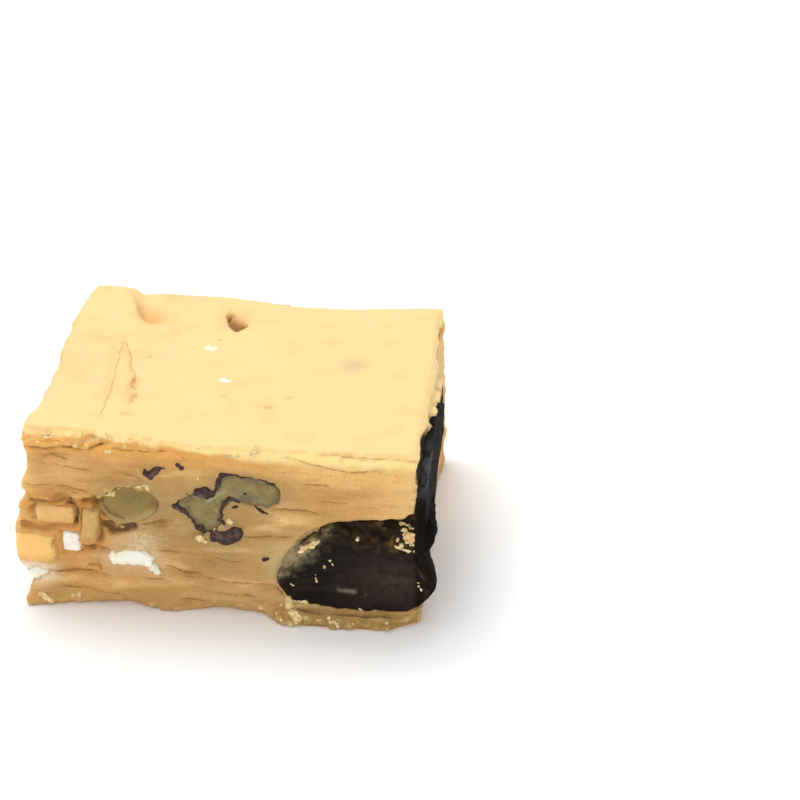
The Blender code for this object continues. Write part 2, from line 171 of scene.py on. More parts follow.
def shell(node, grow=0.0, walls=(), below=0.0):
    """A merged copy of a CAD node, grown by that many mm, but not out of the walls it shows in."""
    bm = bmesh.new()
    bm.from_mesh(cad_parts[node].data)
    bmesh.ops.remove_doubles(bm, verts=bm.verts, dist=0.001 * MM)
    bm.normal_update()
    limits = [max(sign * v.co[axis] for v in bm.verts) - below * MM for axis, sign in walls]
    for v in bm.verts:
        v.co += v.normal * (grow * MM)
        for (axis, sign), limit in zip(walls, limits):
            v.co[axis] = sign * min(sign * v.co[axis], limit)
    return bm


def as_object(name, shells):
    """One object from a list of shells, which are used up."""
    mesh = bpy.data.meshes.new(name)
    whole = bmesh.new()
    for bm in shells:
        bm.to_mesh(mesh)
        bm.free()
        whole.from_mesh(mesh)
    whole.to_mesh(mesh)
    whole.free()
    return new_object(name, mesh)


# %% [markdown]
# ## Points, numbers and colours in and out
# The rules work on arrays, so the points of a mesh are read and written all at once. What a
# material has to know is kept on the points as well: numbers, and a colour that is called paint.
# A colour is built up like a glaze, coat over coat, each with a share between 0 and 1.

# %% Read and write the points of a mesh
def at_points(obj, what):
    flat = np.empty(len(obj.data.vertices) * 3)
    obj.data.vertices.foreach_get(what, flat)
    return flat.reshape(-1, 3)


def points_of(obj):
    return at_points(obj, "co") / MM


def normals_of(obj):
    return at_points(obj, "normal")


def set_points(obj, points):
    obj.data.vertices.foreach_set("co", (points * MM).ravel())
    obj.data.update()


def set_value(obj, name, values):
    """Keeps a number at every point, for the material to read."""
    layer = obj.data.attributes.new(name, "FLOAT", "POINT")
    layer.data.foreach_set("value", values.astype(np.float32))


def set_paint(obj, paint):
    """Keeps a colour at every point."""
    layer = obj.data.attributes.new("paint", "FLOAT_COLOR", "POINT")
    solid = np.hstack((np.clip(paint, 0.0, 1.0), np.ones((len(paint), 1))))
    layer.data.foreach_set("color", solid.astype(np.float32).ravel())


def plain(points, colour):
    """One colour for all the points."""
    return np.tile(np.array(colour), (len(points), 1))


def layered(paint, *coats):
    """Lays coats of colour over the paint in turn, each where its share says so."""
    for colour, share in coats:
        share = np.clip(share, 0.0, 1.0)[:, None]
        paint = paint * (1.0 - share) + np.array(colour) * share
    return paint


# %% [markdown]
# ## Sums of shader sockets
# A shader is a graph of nodes, which is tiresome to wire by hand. This class wraps an output
# socket, so that it can be added, subtracted and multiplied like a number. Each sum adds a Math
# node to the material that the socket belongs to.

# %% Sockets as numbers
class Number:
    """An output socket that can be used in sums."""

    def __init__(self, look, socket):
        self.look = look
        self.socket = socket

    def sum_with(self, operation, first, second):
        return self.look.node("ShaderNodeMath", {"operation": operation}, {0: first, 1: second})

    def __add__(self, other):
        return self.sum_with("ADD", self, other)

    def __radd__(self, other):
        return self.sum_with("ADD", other, self)

    def __sub__(self, other):
        return self.sum_with("SUBTRACT", self, other)

    def __rsub__(self, other):
        return self.sum_with("SUBTRACT", other, self)

    def __mul__(self, other):
        return self.sum_with("MULTIPLY", self, other)

    def __rmul__(self, other):
        return self.sum_with("MULTIPLY", other, self)


# %% [markdown]
# ## A material and its nodes
# This class holds a material and adds any node in one call, with its settings first and its
# inputs after. The short methods under it are the nodes that this sweet needs: noise of a given
# size in mm, blotches cut out of noise, coats of colour, and bumps.

# %% Materials
class Look:
    """One material and the short ways to add nodes to it."""

    def __init__(self, name, settings):
        self.material = bpy.data.materials.new(name)
        self.material.use_nodes = True
        self.tree = self.material.node_tree
        self.shader = self.tree.nodes["Principled BSDF"]
        for socket, value in settings.items():
            self.shader.inputs[socket].default_value = value

    def node(self, kind, settings=None, inputs=None, output=0):
        made = self.tree.nodes.new(kind)
        for setting, value in (settings or {}).items():
            setattr(made, setting, value)
        for socket, value in (inputs or {}).items():
            self.plug(value, made.inputs[socket])
        return Number(self, made.outputs[output])

    def plug(self, value, socket):
        if isinstance(value, Number):
            self.tree.links.new(value.socket, socket)
        elif isinstance(value, tuple) and len(value) == 3 and socket.type == "RGBA":
            socket.default_value = (*value, 1.0)
        else:
            socket.default_value = value

    def value(self, name):
        return self.node("ShaderNodeAttribute", {"attribute_name": name}, output=2)

    def paint(self):
        return self.node("ShaderNodeAttribute", {"attribute_name": "paint"}, output=0)

    def size_of(self, value):
        return self.node("ShaderNodeMath", {"operation": "ABSOLUTE"}, {0: value})

    def coordinates(self, size, stretch=(1.0, 1.0, 1.0), shift=0.0):
        """Object coordinates in lumps of that many mm, so that a noise scale of 1 fits."""
        place = self.node("ShaderNodeTexCoord", output=3)
        scale = tuple(1.0 / (size * MM * s) for s in stretch)
        offset = (shift, shift * 1.3, -shift)
        return self.node(
            "ShaderNodeVectorMath", {"operation": "MULTIPLY_ADD"}, {0: place, 1: scale, 2: offset}
        )

    def noise(self, size, detail=2.0, stretch=(1.0, 1.0, 1.0), shift=0.0):
        where = self.coordinates(size, stretch, shift)
        return self.node(
            "ShaderNodeTexNoise", None,
            {"Vector": where, "Scale": 1.0, "Detail": detail, "Roughness": 0.55},
        )

    def step(self, value, low, high):
        return self.node(
            "ShaderNodeMapRange", {"interpolation_type": "SMOOTHSTEP"},
            {0: value, 1: low, 2: high, 3: 0.0, 4: 1.0},
        )

    def blotches(self, size, low, high, detail=4.0, **more):
        """Noise that is 0 below the low value and 1 above the high one."""
        return self.step(self.noise(size, detail, **more), low, high)

    def mix(self, share, first, second):
        return self.node(
            "ShaderNodeMix", {"data_type": "RGBA"}, {0: share, 6: first, 7: second}, output=2
        )

    def coats(self, colour, *coats):
        """Lays coats of colour over the first one in turn, each by its share."""
        for tone, share in coats:
            colour = self.mix(share, colour, tone)
        return colour

    def bump(self, height, depth, strength=1.0):
        """A normal from a height from 0 to 1 that stands for that many mm."""
        return self.node(
            "ShaderNodeBump", None, {"Height": height, "Distance": depth * MM, "Strength": strength}
        )

    def feed(self, links):
        for socket, value in links.items():
            self.plug(value, self.shader.inputs[socket])
        return self.material


def waxy(weight, colour_reach, reach, shine):
    """Settings of a material that light goes into, by a reach in mm that differs by colour."""
    return {
        "Subsurface Weight": weight, "Subsurface Radius": colour_reach,
        "Subsurface Scale": reach * MM, "Specular IOR Level": shine,
    }


def blotchy_look(name, rough, wax, coats, bump, base=None):
    """A waxy material with coats of blotches. A coat is a colour, a share and the blotches."""
    look = Look(name, {"Roughness": rough, **waxy(*wax)})
    colour = base or look.paint()
    for tone, share, (size, low, high, detail, shift) in coats:
        colour = look.mix(look.blotches(size, low, high, detail, shift=shift) * share, colour, tone)
    size, detail, shift, depth = bump
    normal = look.bump(look.noise(size, detail, shift=shift), depth, 0.5)
    return look.feed({"Base Color": colour, "Normal": normal})


# %% [markdown]
# ## What is stirred in, and where it shows
# One row for each piece: the walls it shows in, how far the fudge closes over it and how far the
# piece itself is grown, how fine and how rough it is, and the tint that it gives the fudge round
# it. Walls are an axis and a direction. Some pieces have a drawn outline where the knife cut them.

# %% Table of the pieces
Piece = namedtuple("Piece", "slot walls closed grow voxel relief lump tint reach share rounds")
FRONT_FACE, BACK_FACE, LEFT_FACE, RIGHT_FACE, TOP_FACE = (1, -1), (1, 1), (0, -1), (0, 1), (2, 1)
FRONT_WALL, BACK_WALL, LEFT_WALL = (FRONT_FACE,), (BACK_FACE,), (LEFT_FACE,)
CORNER_WALLS = (FRONT_FACE, LEFT_FACE)
RIGHT_WALLS = (FRONT_FACE, RIGHT_FACE)
OLIVE = (0.36, 0.27, 0.115)
PALE = (0.56, 0.45, 0.21)
MILKY = (0.80, 0.62, 0.38)
AMBER = (0.66, 0.31, 0.06)
PIECES = {
    "chocolate_chunk": Piece("chocolate", RIGHT_WALLS, 0.3, 0.12, 0.2, 0.10, 1.1, PALE, 2.2, 0.5, 2),
    "chocolate_left": Piece("chocolate", LEFT_WALL, 0.5, 0.15, 0.25, 0.10, 1.1, PALE, 1.2, 0.4, 2),
    "chocolate_back": Piece("chocolate", BACK_WALL, 0.5, 0.15, 0.25, 0.10, 1.1, PALE, 1.2, 0.4, 2),
    "walnut": Piece("walnut", FRONT_WALL, 0.5, 0.25, 0.16, 0.07, 0.9, OLIVE, 2.2, 0.55, 2),
    "walnut_round": Piece("walnut", FRONT_WALL, 1.4, 1.3, 0.16, 0.04, 1.2, OLIVE, 1.4, 0.6, 2),
    "walnut_left": Piece("walnut", LEFT_WALL, 0.5, 0.25, 0.2, 0.07, 0.9, OLIVE, 1.4, 0.6, 2),
    "walnut_back": Piece("walnut", BACK_WALL, 0.5, 0.25, 0.2, 0.07, 0.9, OLIVE, 1.4, 0.6, 2),
    "walnut_skin": Piece("walnut_skin", FRONT_WALL, 0.5, 0.25, 0.16, 0.12, 0.8, OLIVE, 1.2, 0.5, 2),
    "marshmallow": Piece("marshmallow", FRONT_WALL, 0.5, 0.3, 0.16, 0.16, 0.8, MILKY, 1.6, 0.7, 2),
    "marshmallow_corner": Piece("marshmallow", CORNER_WALLS, 0.5, 0.1, 0.16, 0.16, 0.8, MILKY, 1.3, 0.9, 2),
    "marshmallow_cube": Piece("marshmallow", FRONT_WALL, 0.7, 0.15, 0.16, 0.10, 0.8, AMBER, 0.9, 0.3, 2),
    "marshmallow_back": Piece("marshmallow", BACK_WALL, 0.5, 0.2, 0.2, 0.16, 0.8, MILKY, 1.3, 0.9, 2),
    "caramel_bit_a": Piece("caramel_bit", FRONT_WALL, 1.3, 0.1, 0.18, 0.12, 1.1, AMBER, 1.0, 0.6, 9),
    "caramel_bit_b": Piece("caramel_bit", CORNER_WALLS, 1.1, 0.1, 0.18, 0.12, 1.1, AMBER, 0.9, 0.4, 9),
    "caramel_bit_c": Piece("caramel_bit", FRONT_WALL, 0.7, 0.1, 0.18, 0.12, 1.1, AMBER, 1.1, 0.7, 9),
}
print(len(PIECES), "pieces in", len({piece.slot for piece in PIECES.values()}), "kinds")

# %% [markdown]
# ## Outlines of the cut pieces
# Where the knife went through a piece, its outline on the face is sharp and irregular. Outlines
# are drawn as rings of places, which the skin of fudge is opened along later. The round kernel is
# a plain leaning oval.

# %% Draw the outlines
def oval(across, up, wide, high, lean):
    """The outline of a leaning oval, with its half width and half height, as sixteen points."""
    turned = math.radians(lean)
    ring = []
    for number in range(16):
        angle = math.radians(22.5 * number)
        along, aside = wide * math.cos(angle), high * math.sin(angle)
        to_right = along * math.cos(turned) - aside * math.sin(turned)
        to_top = along * math.sin(turned) + aside * math.cos(turned)
        ring.append((across + to_right, up + to_top))
    return tuple(ring)


OUTLINES = {
    "walnut": (
        (-5.5, 17.0), (-4.4, 17.7), (-3.3, 18.2), (-1.1, 18.1), (-0.6, 18.8), (0.0, 20.3),
        (0.4, 21.3), (1.5, 21.6), (3.9, 21.1), (6.9, 20.4), (7.6, 19.3), (7.4, 17.8), (6.0, 17.1),
        (4.3, 17.1), (2.3, 17.5), (1.2, 17.9), (0.5, 17.4), (0.0, 15.6), (-0.3, 14.2),
        (-0.9, 13.1), (-2.0, 12.9), (-3.0, 13.6), (-4.0, 14.7), (-4.4, 15.8), (-5.6, 16.3),
    ),
    "walnut_round": oval(-12.2, 15.8, 3.8, 2.8, 14.0),
    "walnut_skin": (
        (-1.8, 12.6), (0.2, 12.9), (1.4, 13.6), (2.6, 13.5), (2.7, 12.6), (2.1, 11.5),
        (1.2, 11.3), (0.3, 10.6), (-0.5, 11.0), (-1.0, 11.9),
    ),
    "marshmallow": (
        (-15.6, 7.0), (-14.6, 8.1), (-13.6, 8.6), (-12.5, 9.3), (-11.2, 9.6), (-9.6, 9.4),
        (-8.5, 8.2), (-8.2, 6.9), (-8.7, 6.0), (-9.9, 6.2), (-10.6, 7.2), (-11.8, 7.6),
        (-13.4, 7.3), (-14.6, 6.7),
    ),
}
CHUNK_OUTLINE = (  # x and height on the front wall
    (6.3, 6.8), (7.0, 9.2), (9.3, 11.8), (11.2, 12.5), (13.2, 13.9), (15.2, 14.4), (17.4, 15.4),
    (19.6, 15.4), (21.1, 16.0), (23.1, 16.2), (24.4, 17.1), (24.8, 18.3), (24.9, 24.7), (31.0, 24.7),
    (31.0, 1.2), (25.4, 2.3), (20.2, 2.1), (14.4, 2.1), (10.0, 3.1), (7.5, 4.1),
)
BLADE_OUTLINE = (  # y and height on the right wall
    (-22.0, 0.9), (-8.5, 1.3), (-7.6, 3.8), (2.0, 4.6), (5.4, 7.5), (6.5, 12.0), (6.1, 18.0),
    (4.0, 21.6), (0.0, 23.0), (-8.0, 24.0), (-14.0, 24.7), (-22.0, 24.7),
)
seed_of = {node: 10.0 + number for number, node in enumerate(PIECES)}
print("outlines:", {node: len(ring) for node, ring in OUTLINES.items()})

# %% [markdown]
# ## Cracks and marks of the fudge
# The knife did not slice the fudge cleanly: it tore along level layers and opened cracks under the
# poured skin. Each crack is a path with a half width and a depth in mm. They could be Boolean
# cuts, but pushing points in along a path gives the soft lips that a waxy sweet has.

# %% Cracks of the front face, as x and height
FRONT_CRACKS = (
    (((-25.3, 23.8), (-22.1, 23.6), (-19.4, 24.3), (-16.9, 24.1), (-14.6, 24.9)), 0.16, 0.45),
    (((-12.8, 24.6), (-9.8, 24.2), (-6.8, 24.6)), 0.10, 0.12),
    (((12.6, 25.0), (14.2, 25.2), (17.3, 24.7), (20.6, 25.0), (24.6, 24.7)), 0.10, 0.30),
    (((-27.4, 16.2), (-25.1, 16.1), (-21.9, 16.2), (-20.2, 16.8), (-18.7, 15.7)), 0.26, 0.6),
    (((-10.6, 12.6), (-8.8, 13.0), (-7.0, 13.4)), 0.16, 0.3),
    (((-18.9, 8.2), (-17.0, 9.3), (-15.8, 8.9)), 0.24, 0.4),
    (((-17.6, 6.3), (-16.9, 6.6), (-16.5, 6.0)), 0.20, 0.3),
    (((-8.2, 9.3), (-5.6, 9.3), (-1.7, 8.8), (0.5, 8.2), (3.2, 8.5)), 0.10, 0.18),
    (((-7.3, 6.8), (-5.5, 6.3), (-3.2, 6.0)), 0.12, 0.25),
    (((-2.2, 5.6), (0.6, 4.9), (5.9, 4.6), (7.4, 3.5)), 0.11, 0.28),
    (((-1.2, 3.0), (3.4, 2.7)), 0.11, 0.22),
    (((-10.3, 4.7), (-8.3, 4.9)), 0.10, 0.15),
    (((-22.6, 4.9), (-19.7, 5.3), (-16.0, 4.9)), 0.12, 0.28),
    (((-5.6, 1.7), (-3.0, 1.6)), 0.12, 0.18),
    (((-21.5, 2.5), (-17.5, 2.6), (-14.5, 1.9)), 0.12, 0.18),
    (((6.8, 16.9), (9.2, 16.5), (11.9, 16.3)), 0.13, 0.28),
    (((2.8, 12.2), (5.5, 12.3), (8.4, 12.6)), 0.10, 0.15),
    (((11.0, 20.8), (13.4, 20.6)), 0.11, 0.18),
    (((13.0, 18.4), (16.2, 18.3)), 0.08, 0.10),
    (((8.5, 24.4), (12.5, 23.6), (16.5, 22.9), (20.4, 23.4)), 0.09, 0.12),
    (((-22.6, 22.5), (-21.2, 22.9), (-19.6, 22.8)), 0.10, 0.15),
    (((-20.6, 21.7), (-18.4, 21.5), (-16.4, 21.2)), 0.09, 0.12),
    (((-24.4, 18.6), (-20.8, 18.4), (-17.6, 18.0)), 0.10, 0.18),
    (((-12.5, 21.0), (-11.0, 20.4), (-10.2, 20.0)), 0.09, 0.10),
)

# %% Gaps with painted shade, and lumps of the front face
CREVICES = (  # a path, half width and depth in mm, and how dark the painted shade in the gap is
    (((-21.2, 17.0), (-20.2, 16.9), (-19.6, 16.4)), 0.26, 0.3, 0.4),
    (((-19.5, 16.3), (-19.0, 15.6), (-18.8, 14.6), (-18.9, 13.2)), 0.36, 0.9, 1.0),
    (((-18.1, 16.0), (-16.9, 16.3), (-16.3, 17.2)), 0.22, 0.4, 0.5),
    (((-16.3, 16.2), (-16.2, 14.2), (-15.9, 12.2), (-16.2, 10.2)), 0.36, 0.7, 0.75),
    (((-15.9, 13.4), (-15.3, 12.5), (-14.5, 11.8), (-13.4, 12.0), (-11.8, 12.4)), 0.40, 0.8, 0.9),
    (((-25.4, 12.5), (-23.6, 12.1), (-21.4, 12.3), (-19.4, 12.5)), 0.34, 0.5, 0.45),
    (((-22.0, 11.0), (-21.7, 9.0), (-21.9, 7.2)), 0.20, 0.35, 0.3),
    (((-19.2, 9.3), (-18.0, 8.8), (-16.6, 9.4)), 0.30, 0.45, 0.5),
    (((-19.3, 11.4), (-19.2, 9.4)), 0.20, 0.5, 0.6),
)
FRONT_LUMPS = (  # x, height, half width, half height, how far they stand out, in mm
    (8.6, 15.3, 2.4, 0.8, 0.42), (5.0, 16.2, 1.6, 0.6, 0.30), (6.4, 13.8, 1.9, 0.6, 0.28),
    (2.9, 16.5, 1.0, 0.5, 0.15), (-6.8, 4.6, 2.6, 0.9, 0.20), (-19.5, 20.0, 3.0, 1.4, 0.15),
    (14.5, 21.8, 4.0, 1.2, 0.15), (1.5, 3.9, 2.6, 0.6, 0.15), (-4.6, 12.4, 1.6, 0.7, 0.15),
    (-13.5, 3.4, 3.0, 0.8, 0.15), (19.5, 19.0, 3.0, 1.0, 0.12),
)

# %% Cracks of the poured top, as x and y
TOP_CRACKS = (
    (((-18.4, 7.1), (-17.7, 1.0), (-16.9, -4.8), (-16.6, -9.8), (-15.8, -15.4)), 0.09, 0.10),
    (((-18.4, 7.1), (-16.2, 1.5), (-14.4, -3.9)), 0.08, 0.10),
    (((-14.3, -4.1), (-13.4, -8.2), (-13.2, -10.8)), 0.20, 0.40),
    (((-13.4, -14.6), (-12.0, -14.9)), 0.07, 0.06),
)
HOLE = ((-3.4, 10.6), (-2.2, 12.4), (-2.6, 13.6), (-5.3, 17.0), (-5.6, 15.4), (-4.6, 13.2))
FOLD = ((-22.4, 22.0), (-20.4, 19.4), (-18.4, 15.6), (-16.6, 12.6))
TOP_SHADES = (  # x, y, radius in mm, depth of the hollow in mm, strength of the warm colour, which is painted shade in a hollow and a warm tint where the depth is nil
    (-15.2, 13.2, 2.2, 0.25, 0.55), (-4.1, 14.6, 2.8, 0.15, 0.5), (10.5, 9.0, 1.4, 0.22, 0.35),
    (9.2, 14.8, 1.1, 0.18, 0.3), (4.5, -9.5, 1.5, 0.15, 0.3), (13.6, 2.2, 2.2, 0.1, 0.0),
    (-12.9, -14.6, 0.8, 0.0, 0.35), (-5.5, -12.2, 0.9, 0.0, 0.2), (-22.0, -4.0, 1.4, 0.05, 0.2),
)
TOP_DOTS = ((-5.0, 7.5), (-1.6, -7.9), (6.9, -7.4), (4.3, -9.5), (4.9, -9.7), (-13.5, 1.8))

# %% Cracks of the walls that the photograph does not show
drawn = random.Random(7)


def wandering_crack(low, high):
    """A level crack somewhere on a wall that the photograph does not show."""
    start, length = drawn.uniform(low, high - 6.0), drawn.uniform(4.0, 11.0)
    height = drawn.uniform(3.0, 24.0)
    path = [(start + length * n / 4, height + drawn.uniform(-0.35, 0.35)) for n in range(5)]
    return path, drawn.uniform(0.10, 0.24), drawn.uniform(0.2, 0.5)


BACK_CRACKS = [wandering_crack(LEFT, RIGHT) for _ in range(13)]
LEFT_CRACKS = [wandering_crack(FRONT + 3.0, BACK) for _ in range(9)]
RIGHT_CRACKS = [wandering_crack(7.0, BACK) for _ in range(5)]
print("cracks:", len(FRONT_CRACKS), "front,", len(TOP_CRACKS), "top,", len(BACK_CRACKS), "back")

# %% [markdown]
# ## One skin of fudge over everything
# In the solids each piece sits in its pocket with a thin gap all round, but real pieces are stuck
# fast. So the block and slightly grown copies of all the pieces are remeshed as one body, which
# closes the gaps. Where a piece shows, this skin is then pushed in below the piece, along a
# wandering line, and that leaves the ragged lips of fudge that a real cut has.

# %% Close the block over its pieces
SKIN_VOXEL = 0.332  # the finest in mm that keeps the skin under 200,000 triangles
shells = [shell("fudge")]
for node, piece in PIECES.items():
    below = 0.4 if piece.slot == "caramel_bit" or node == "marshmallow_cube" else 0.0
    shells.append(shell(node, piece.closed, piece.walls, below))
fudge = smoothed(remeshed(as_object("fudge_fine", shells), SKIN_VOXEL), 3)
spots = points_of(fudge)
facing = normals_of(fudge)
x, y, z = spots.T
print("fudge:", len(x), "points", len(fudge.data.polygons), "faces")

# %% Distances and directions on the skin
FAR = 9.0  # stands for any distance that no rule asks about, in mm


def away_from(node, points):
    """The distance in mm from each point to a CAD node, or FAR."""
    bm = shell(node)
    tree = BVHTree.FromBMesh(bm)
    corners = np.array([tuple(v.co) for v in bm.verts]) / MM
    bm.free()
    close = (points > corners.min(axis=0) - 3.0) & (points < corners.max(axis=0) + 3.0)
    away = np.full(len(points), FAR)
    for index in np.flatnonzero(close.all(axis=1)):
        away[index] = tree.find_nearest(Vector(points[index] * MM))[3] / MM
    return away


upward = ramp(0.35, 0.85, facing[:, 2]) * ramp(22.0, 24.0, z)
wall = (1.0 - upward) * (1.0 - ramp(0.5, 0.9, -facing[:, 2]))
front = ramp(0.2, 0.7, -facing[:, 1]) * (1.0 - ramp(FRONT + 2.0, FRONT + 4.5, y))
wander = 0.6 * grain(spots, 1.3, 4.0) + 0.4 * grain(spots, 0.6, 5.0)

# %% Open the fudge over each piece
opened = np.zeros(len(x))
lips = np.zeros(len(x))
smeared = ramp(14.0, 11.0, x) * ramp(4.0, 7.0, z) * ramp(12.2, 11.2, z) * front  # over the chunk
distance = {}
for node, piece in PIECES.items():
    distance[node] = away_from(node, spots)
    if node in OUTLINES:
        depth_in = inside(x, z, OUTLINES[node]) + 0.3 * wander
        share = ramp(-0.2, 0.25, depth_in) * front * (distance[node] < 2.0)
    else:
        reach = 0.1 if piece.slot == "caramel_bit" else min(piece.closed, 0.45)
        share = 1.0 - ramp(reach - 0.1, reach + 0.25, distance[node] + 0.4 * wander)
        if node == "chocolate_chunk":
            share = ramp(1.4, 0.6, distance[node] / np.where(z > 12.0, 2.0, 0.6))
            shown = ramp(-0.2, 0.25, inside(x, z, CHUNK_OUTLINE) + 0.45 * wander)
            bare = inside(y, z, BLADE_OUTLINE) + 1.3 * grain(spots, 3.0, 22.0) + 0.4 * wander
            share *= front * shown + (1.0 - front) * ramp(-0.5, 0.9, bare)
            over_chunk = share
    opened = np.maximum(opened, share)
    if piece.slot in ("walnut", "walnut_skin", "chocolate"):
        lips = np.maximum(lips, 4.0 * share * (1.0 - share) * (1.0 - smeared) * ramp(2.2, 3.8, z))
print("opened points:", int((opened > 0.5).sum()))

# %% [markdown]
# ## Steps of the outline
# Two steps are large enough to show against the background: the left end stands out under its
# notch, and the right wall draws in over the foot of the chunk. They are functions of a place, so
# that the pieces that show there can follow the fudge.

# %% Shelf and waist
def shelf(points):
    """How far the left end stands out to the left under its notch, in mm."""
    across, deep, high = points.T
    out = 0.75 * ramp(4.0, 7.0, high) * ramp(20.0, 17.5, high) + 0.45 * bell(high, 14.7, 0.7)
    out += 0.3 * bell(high, 17.1, 0.8) - 0.45 * bell(high, 16.1, 0.4)
    return out * ramp(-22.5, -25.0, across) * ramp(FRONT + 12.0, FRONT + 3.0, deep)


def waist(points):
    """How far the right wall draws in between the blade and the foot of the chunk, in mm."""
    across, deep, high = points.T
    out = 1.2 * bell(high, 10.3, 1.7)
    out += 0.7 * ramp(9.5, 7.0, high) * ramp(FRONT + 2.0, FRONT + 6.0, deep)
    return out * ramp(24.0, 26.0, across) * ramp(19.0, 10.0, deep)


# %% [markdown]
# ## Cracks, gaps and lumps
# Each crack gives three numbers at every point near it: how deep the surface is there, how far to
# which side the crack runs, and how strongly it shows. The first one moves the points, and the
# other two are for the material, which draws the dark line of painted shade itself.

# %% Cracks at every point
crack_depth = np.zeros(len(x))
line_side = np.full(len(x), FAR)
line_on = np.zeros(len(x))
shake = 0.25 * grain(spots, 2.2, 5.0) + 0.12 * grain(spots, 0.8, 6.0)
for cracks, across, up, on in (
    (FRONT_CRACKS, x, z + shake, front), (TOP_CRACKS, x + shake, y, upward),
    (BACK_CRACKS, x, z + shake, ramp(0.2, 0.7, facing[:, 1]) * wall),
    (LEFT_CRACKS, y, z + shake, ramp(0.2, 0.7, -facing[:, 0]) * wall),
    (RIGHT_CRACKS, y, z + shake, ramp(0.2, 0.7, facing[:, 0]) * wall),
):
    for path, width, depth in cracks:
        offset = beside(across, up, path) / width
        pinch = 0.75 + 0.5 * grain(spots, 1.7, depth)
        closest = np.abs(offset) < np.abs(line_side)
        strength = on * pinch * (1.0 - ramp(4.0, 7.0, np.abs(offset)))
        line_on = np.where(closest, strength, line_on)
        line_side = np.where(closest, offset, line_side)
        dent = depth * pinch * on * bell(offset * width, 0.0, max(width, 0.24))
        crack_depth = np.maximum(crack_depth, dent)

# %% Holes, gaps and lumps at every point
hole = ramp(-0.2, 0.5, inside(x, y, HOLE) + 0.2 * wander) * upward
crevice_shade = np.zeros(len(x))
gap = np.zeros(len(x))
for path, width, depth, strength in CREVICES:
    close = ramp(1.6, 0.5, near(x + 1.5 * shake, z + shake, path) / width + 0.35 * wander) * front
    crevice_shade = np.maximum(crevice_shade, strength * close)
    gap = np.maximum(gap, depth * close)
lumps = np.zeros(len(x))
for across, up, wide, high, height in FRONT_LUMPS:
    lump = blob(x, z + 2.0 * shake, (across, up), 1.0, wide, high)
    lumps = np.maximum(lumps, height * lump * front)
under_chunk = 0.3 * bell(z, 1.9, 0.45) * ramp(8.0, 9.5, x) * ramp(24.5, 23.0, x) * front
lumps = np.maximum(lumps, under_chunk)
print("cracked points:", int((crack_depth > 0.1).sum()), "in gaps:", int((gap > 0.1).sum()))

# %% [markdown]
# ## Relief of the fudge
# The same rules run over every point of the fine skin. The walls get soft level layers, small
# crags and pores; the top stays smooth, with slow waves, a few cracks and a hole. The rim and the
# foot are ragged with crumbs. Noise of several sizes is better here than sculpting, because it
# gives the hidden walls the same grain as the ones that the photograph shows.

# %% Grain of the fudge
LAYERS = (3.5, 3.5, 1.0)  # draws noise out level
wavy = spots.copy()
wavy[:, 2] += 1.1 * grain(spots, 6.0, 21.0)
flow = grain(wavy, 1.1, 1.0, stretch=(6.0, 6.0, 1.0))
ridges = grain(wavy, 1.6, 31.0, stretch=LAYERS)
ridges += 0.5 * grain(wavy, 0.8, 32.0, stretch=(3.0, 3.0, 1.0))
tears = ramp(0.16, 0.0, np.abs(grain(wavy, 1.5, 16.0, stretch=(5.0, 5.0, 1.0))))
tears *= ramp(-0.1, 0.4, grain(spots, 3.2, 17.0))
crags = grain(spots, 1.9, 2.0) + 0.5 * grain(spots, 0.9, 3.0)
pores = np.maximum(0.0, grain(spots, 1.1, 6.0) - 0.5)
swell = grain(spots, 4.5, 7.0)

# %% Zones of the fudge
torn_zone = np.clip(0.35 + ramp(13.0, 6.0, z) + ramp(-8.0, -15.0, x) + 0.5 * (1.0 - front), 0.0, 1.0)
rim = bell(z, TOP + 0.3, 1.0) * wall + bell(facing[:, 2], 0.55, 0.3) * ramp(24.0, 25.0, z)
rim = np.clip(rim, 0.0, 1.0)
foot = (1.0 - ramp(1.2, 2.6, z)) * wall
ragged = grain(spots, 0.95, 9.0) + 0.6 * grain(spots, 0.5, 10.0)
torn_edge = bell(x, RIGHT, 0.9) * ramp(14.0, 16.0, z) * (1.0 - upward) * front
lip = ramp(4.5, 8.0, x) * ramp(3.0, 1.8, z) * wall * front
crust_on = ramp(-11.0, -15.0, x) * wall * front  # the crumbly ledge at the left

# %% Push the points of the fudge
OVER_PIECES = 0.6  # how far the skin sinks where a piece shows, in mm
out = wall * (0.14 * flow * torn_zone + 0.13 * crags - 0.5 * pores + 0.22 * swell + 0.14 * ridges)
out -= 0.15 * tears * torn_zone * wall
out += upward * (0.10 * swell + 0.012 * grain(spots, 0.6, 8.0))
out += (rim * (0.06 + 0.2 * front) + 0.24 * foot + 0.2 * torn_edge + 0.2 * lip) * ragged
out += 0.22 * ragged * bell(z, 24.9, 0.8) * crust_on
out += lumps - np.maximum(crack_depth, gap) - 1.5 * hole
out -= OVER_PIECES * opened * (1.0 - 0.6 * smeared)
fold = beside(x, y, FOLD)
fold_on = upward * ramp(11.0, 13.0, y)
out -= 0.45 * fold_on * ramp(-0.3, 0.5, fold) * ramp(4.5, 0.5, fold)
for across, deep, radius, depth, _ in TOP_SHADES:
    out -= depth * upward * blob(x, y, (across, deep), radius)
spots = spots + facing * out[:, None]
spots[:, 0] -= shelf(spots) + waist(spots)
spots[:, 2] = np.maximum(spots[:, 2], 0.0)
set_points(fudge, spots)
print("relief in mm:", round(float(out.min()), 2), "to", round(float(out.max()), 2))
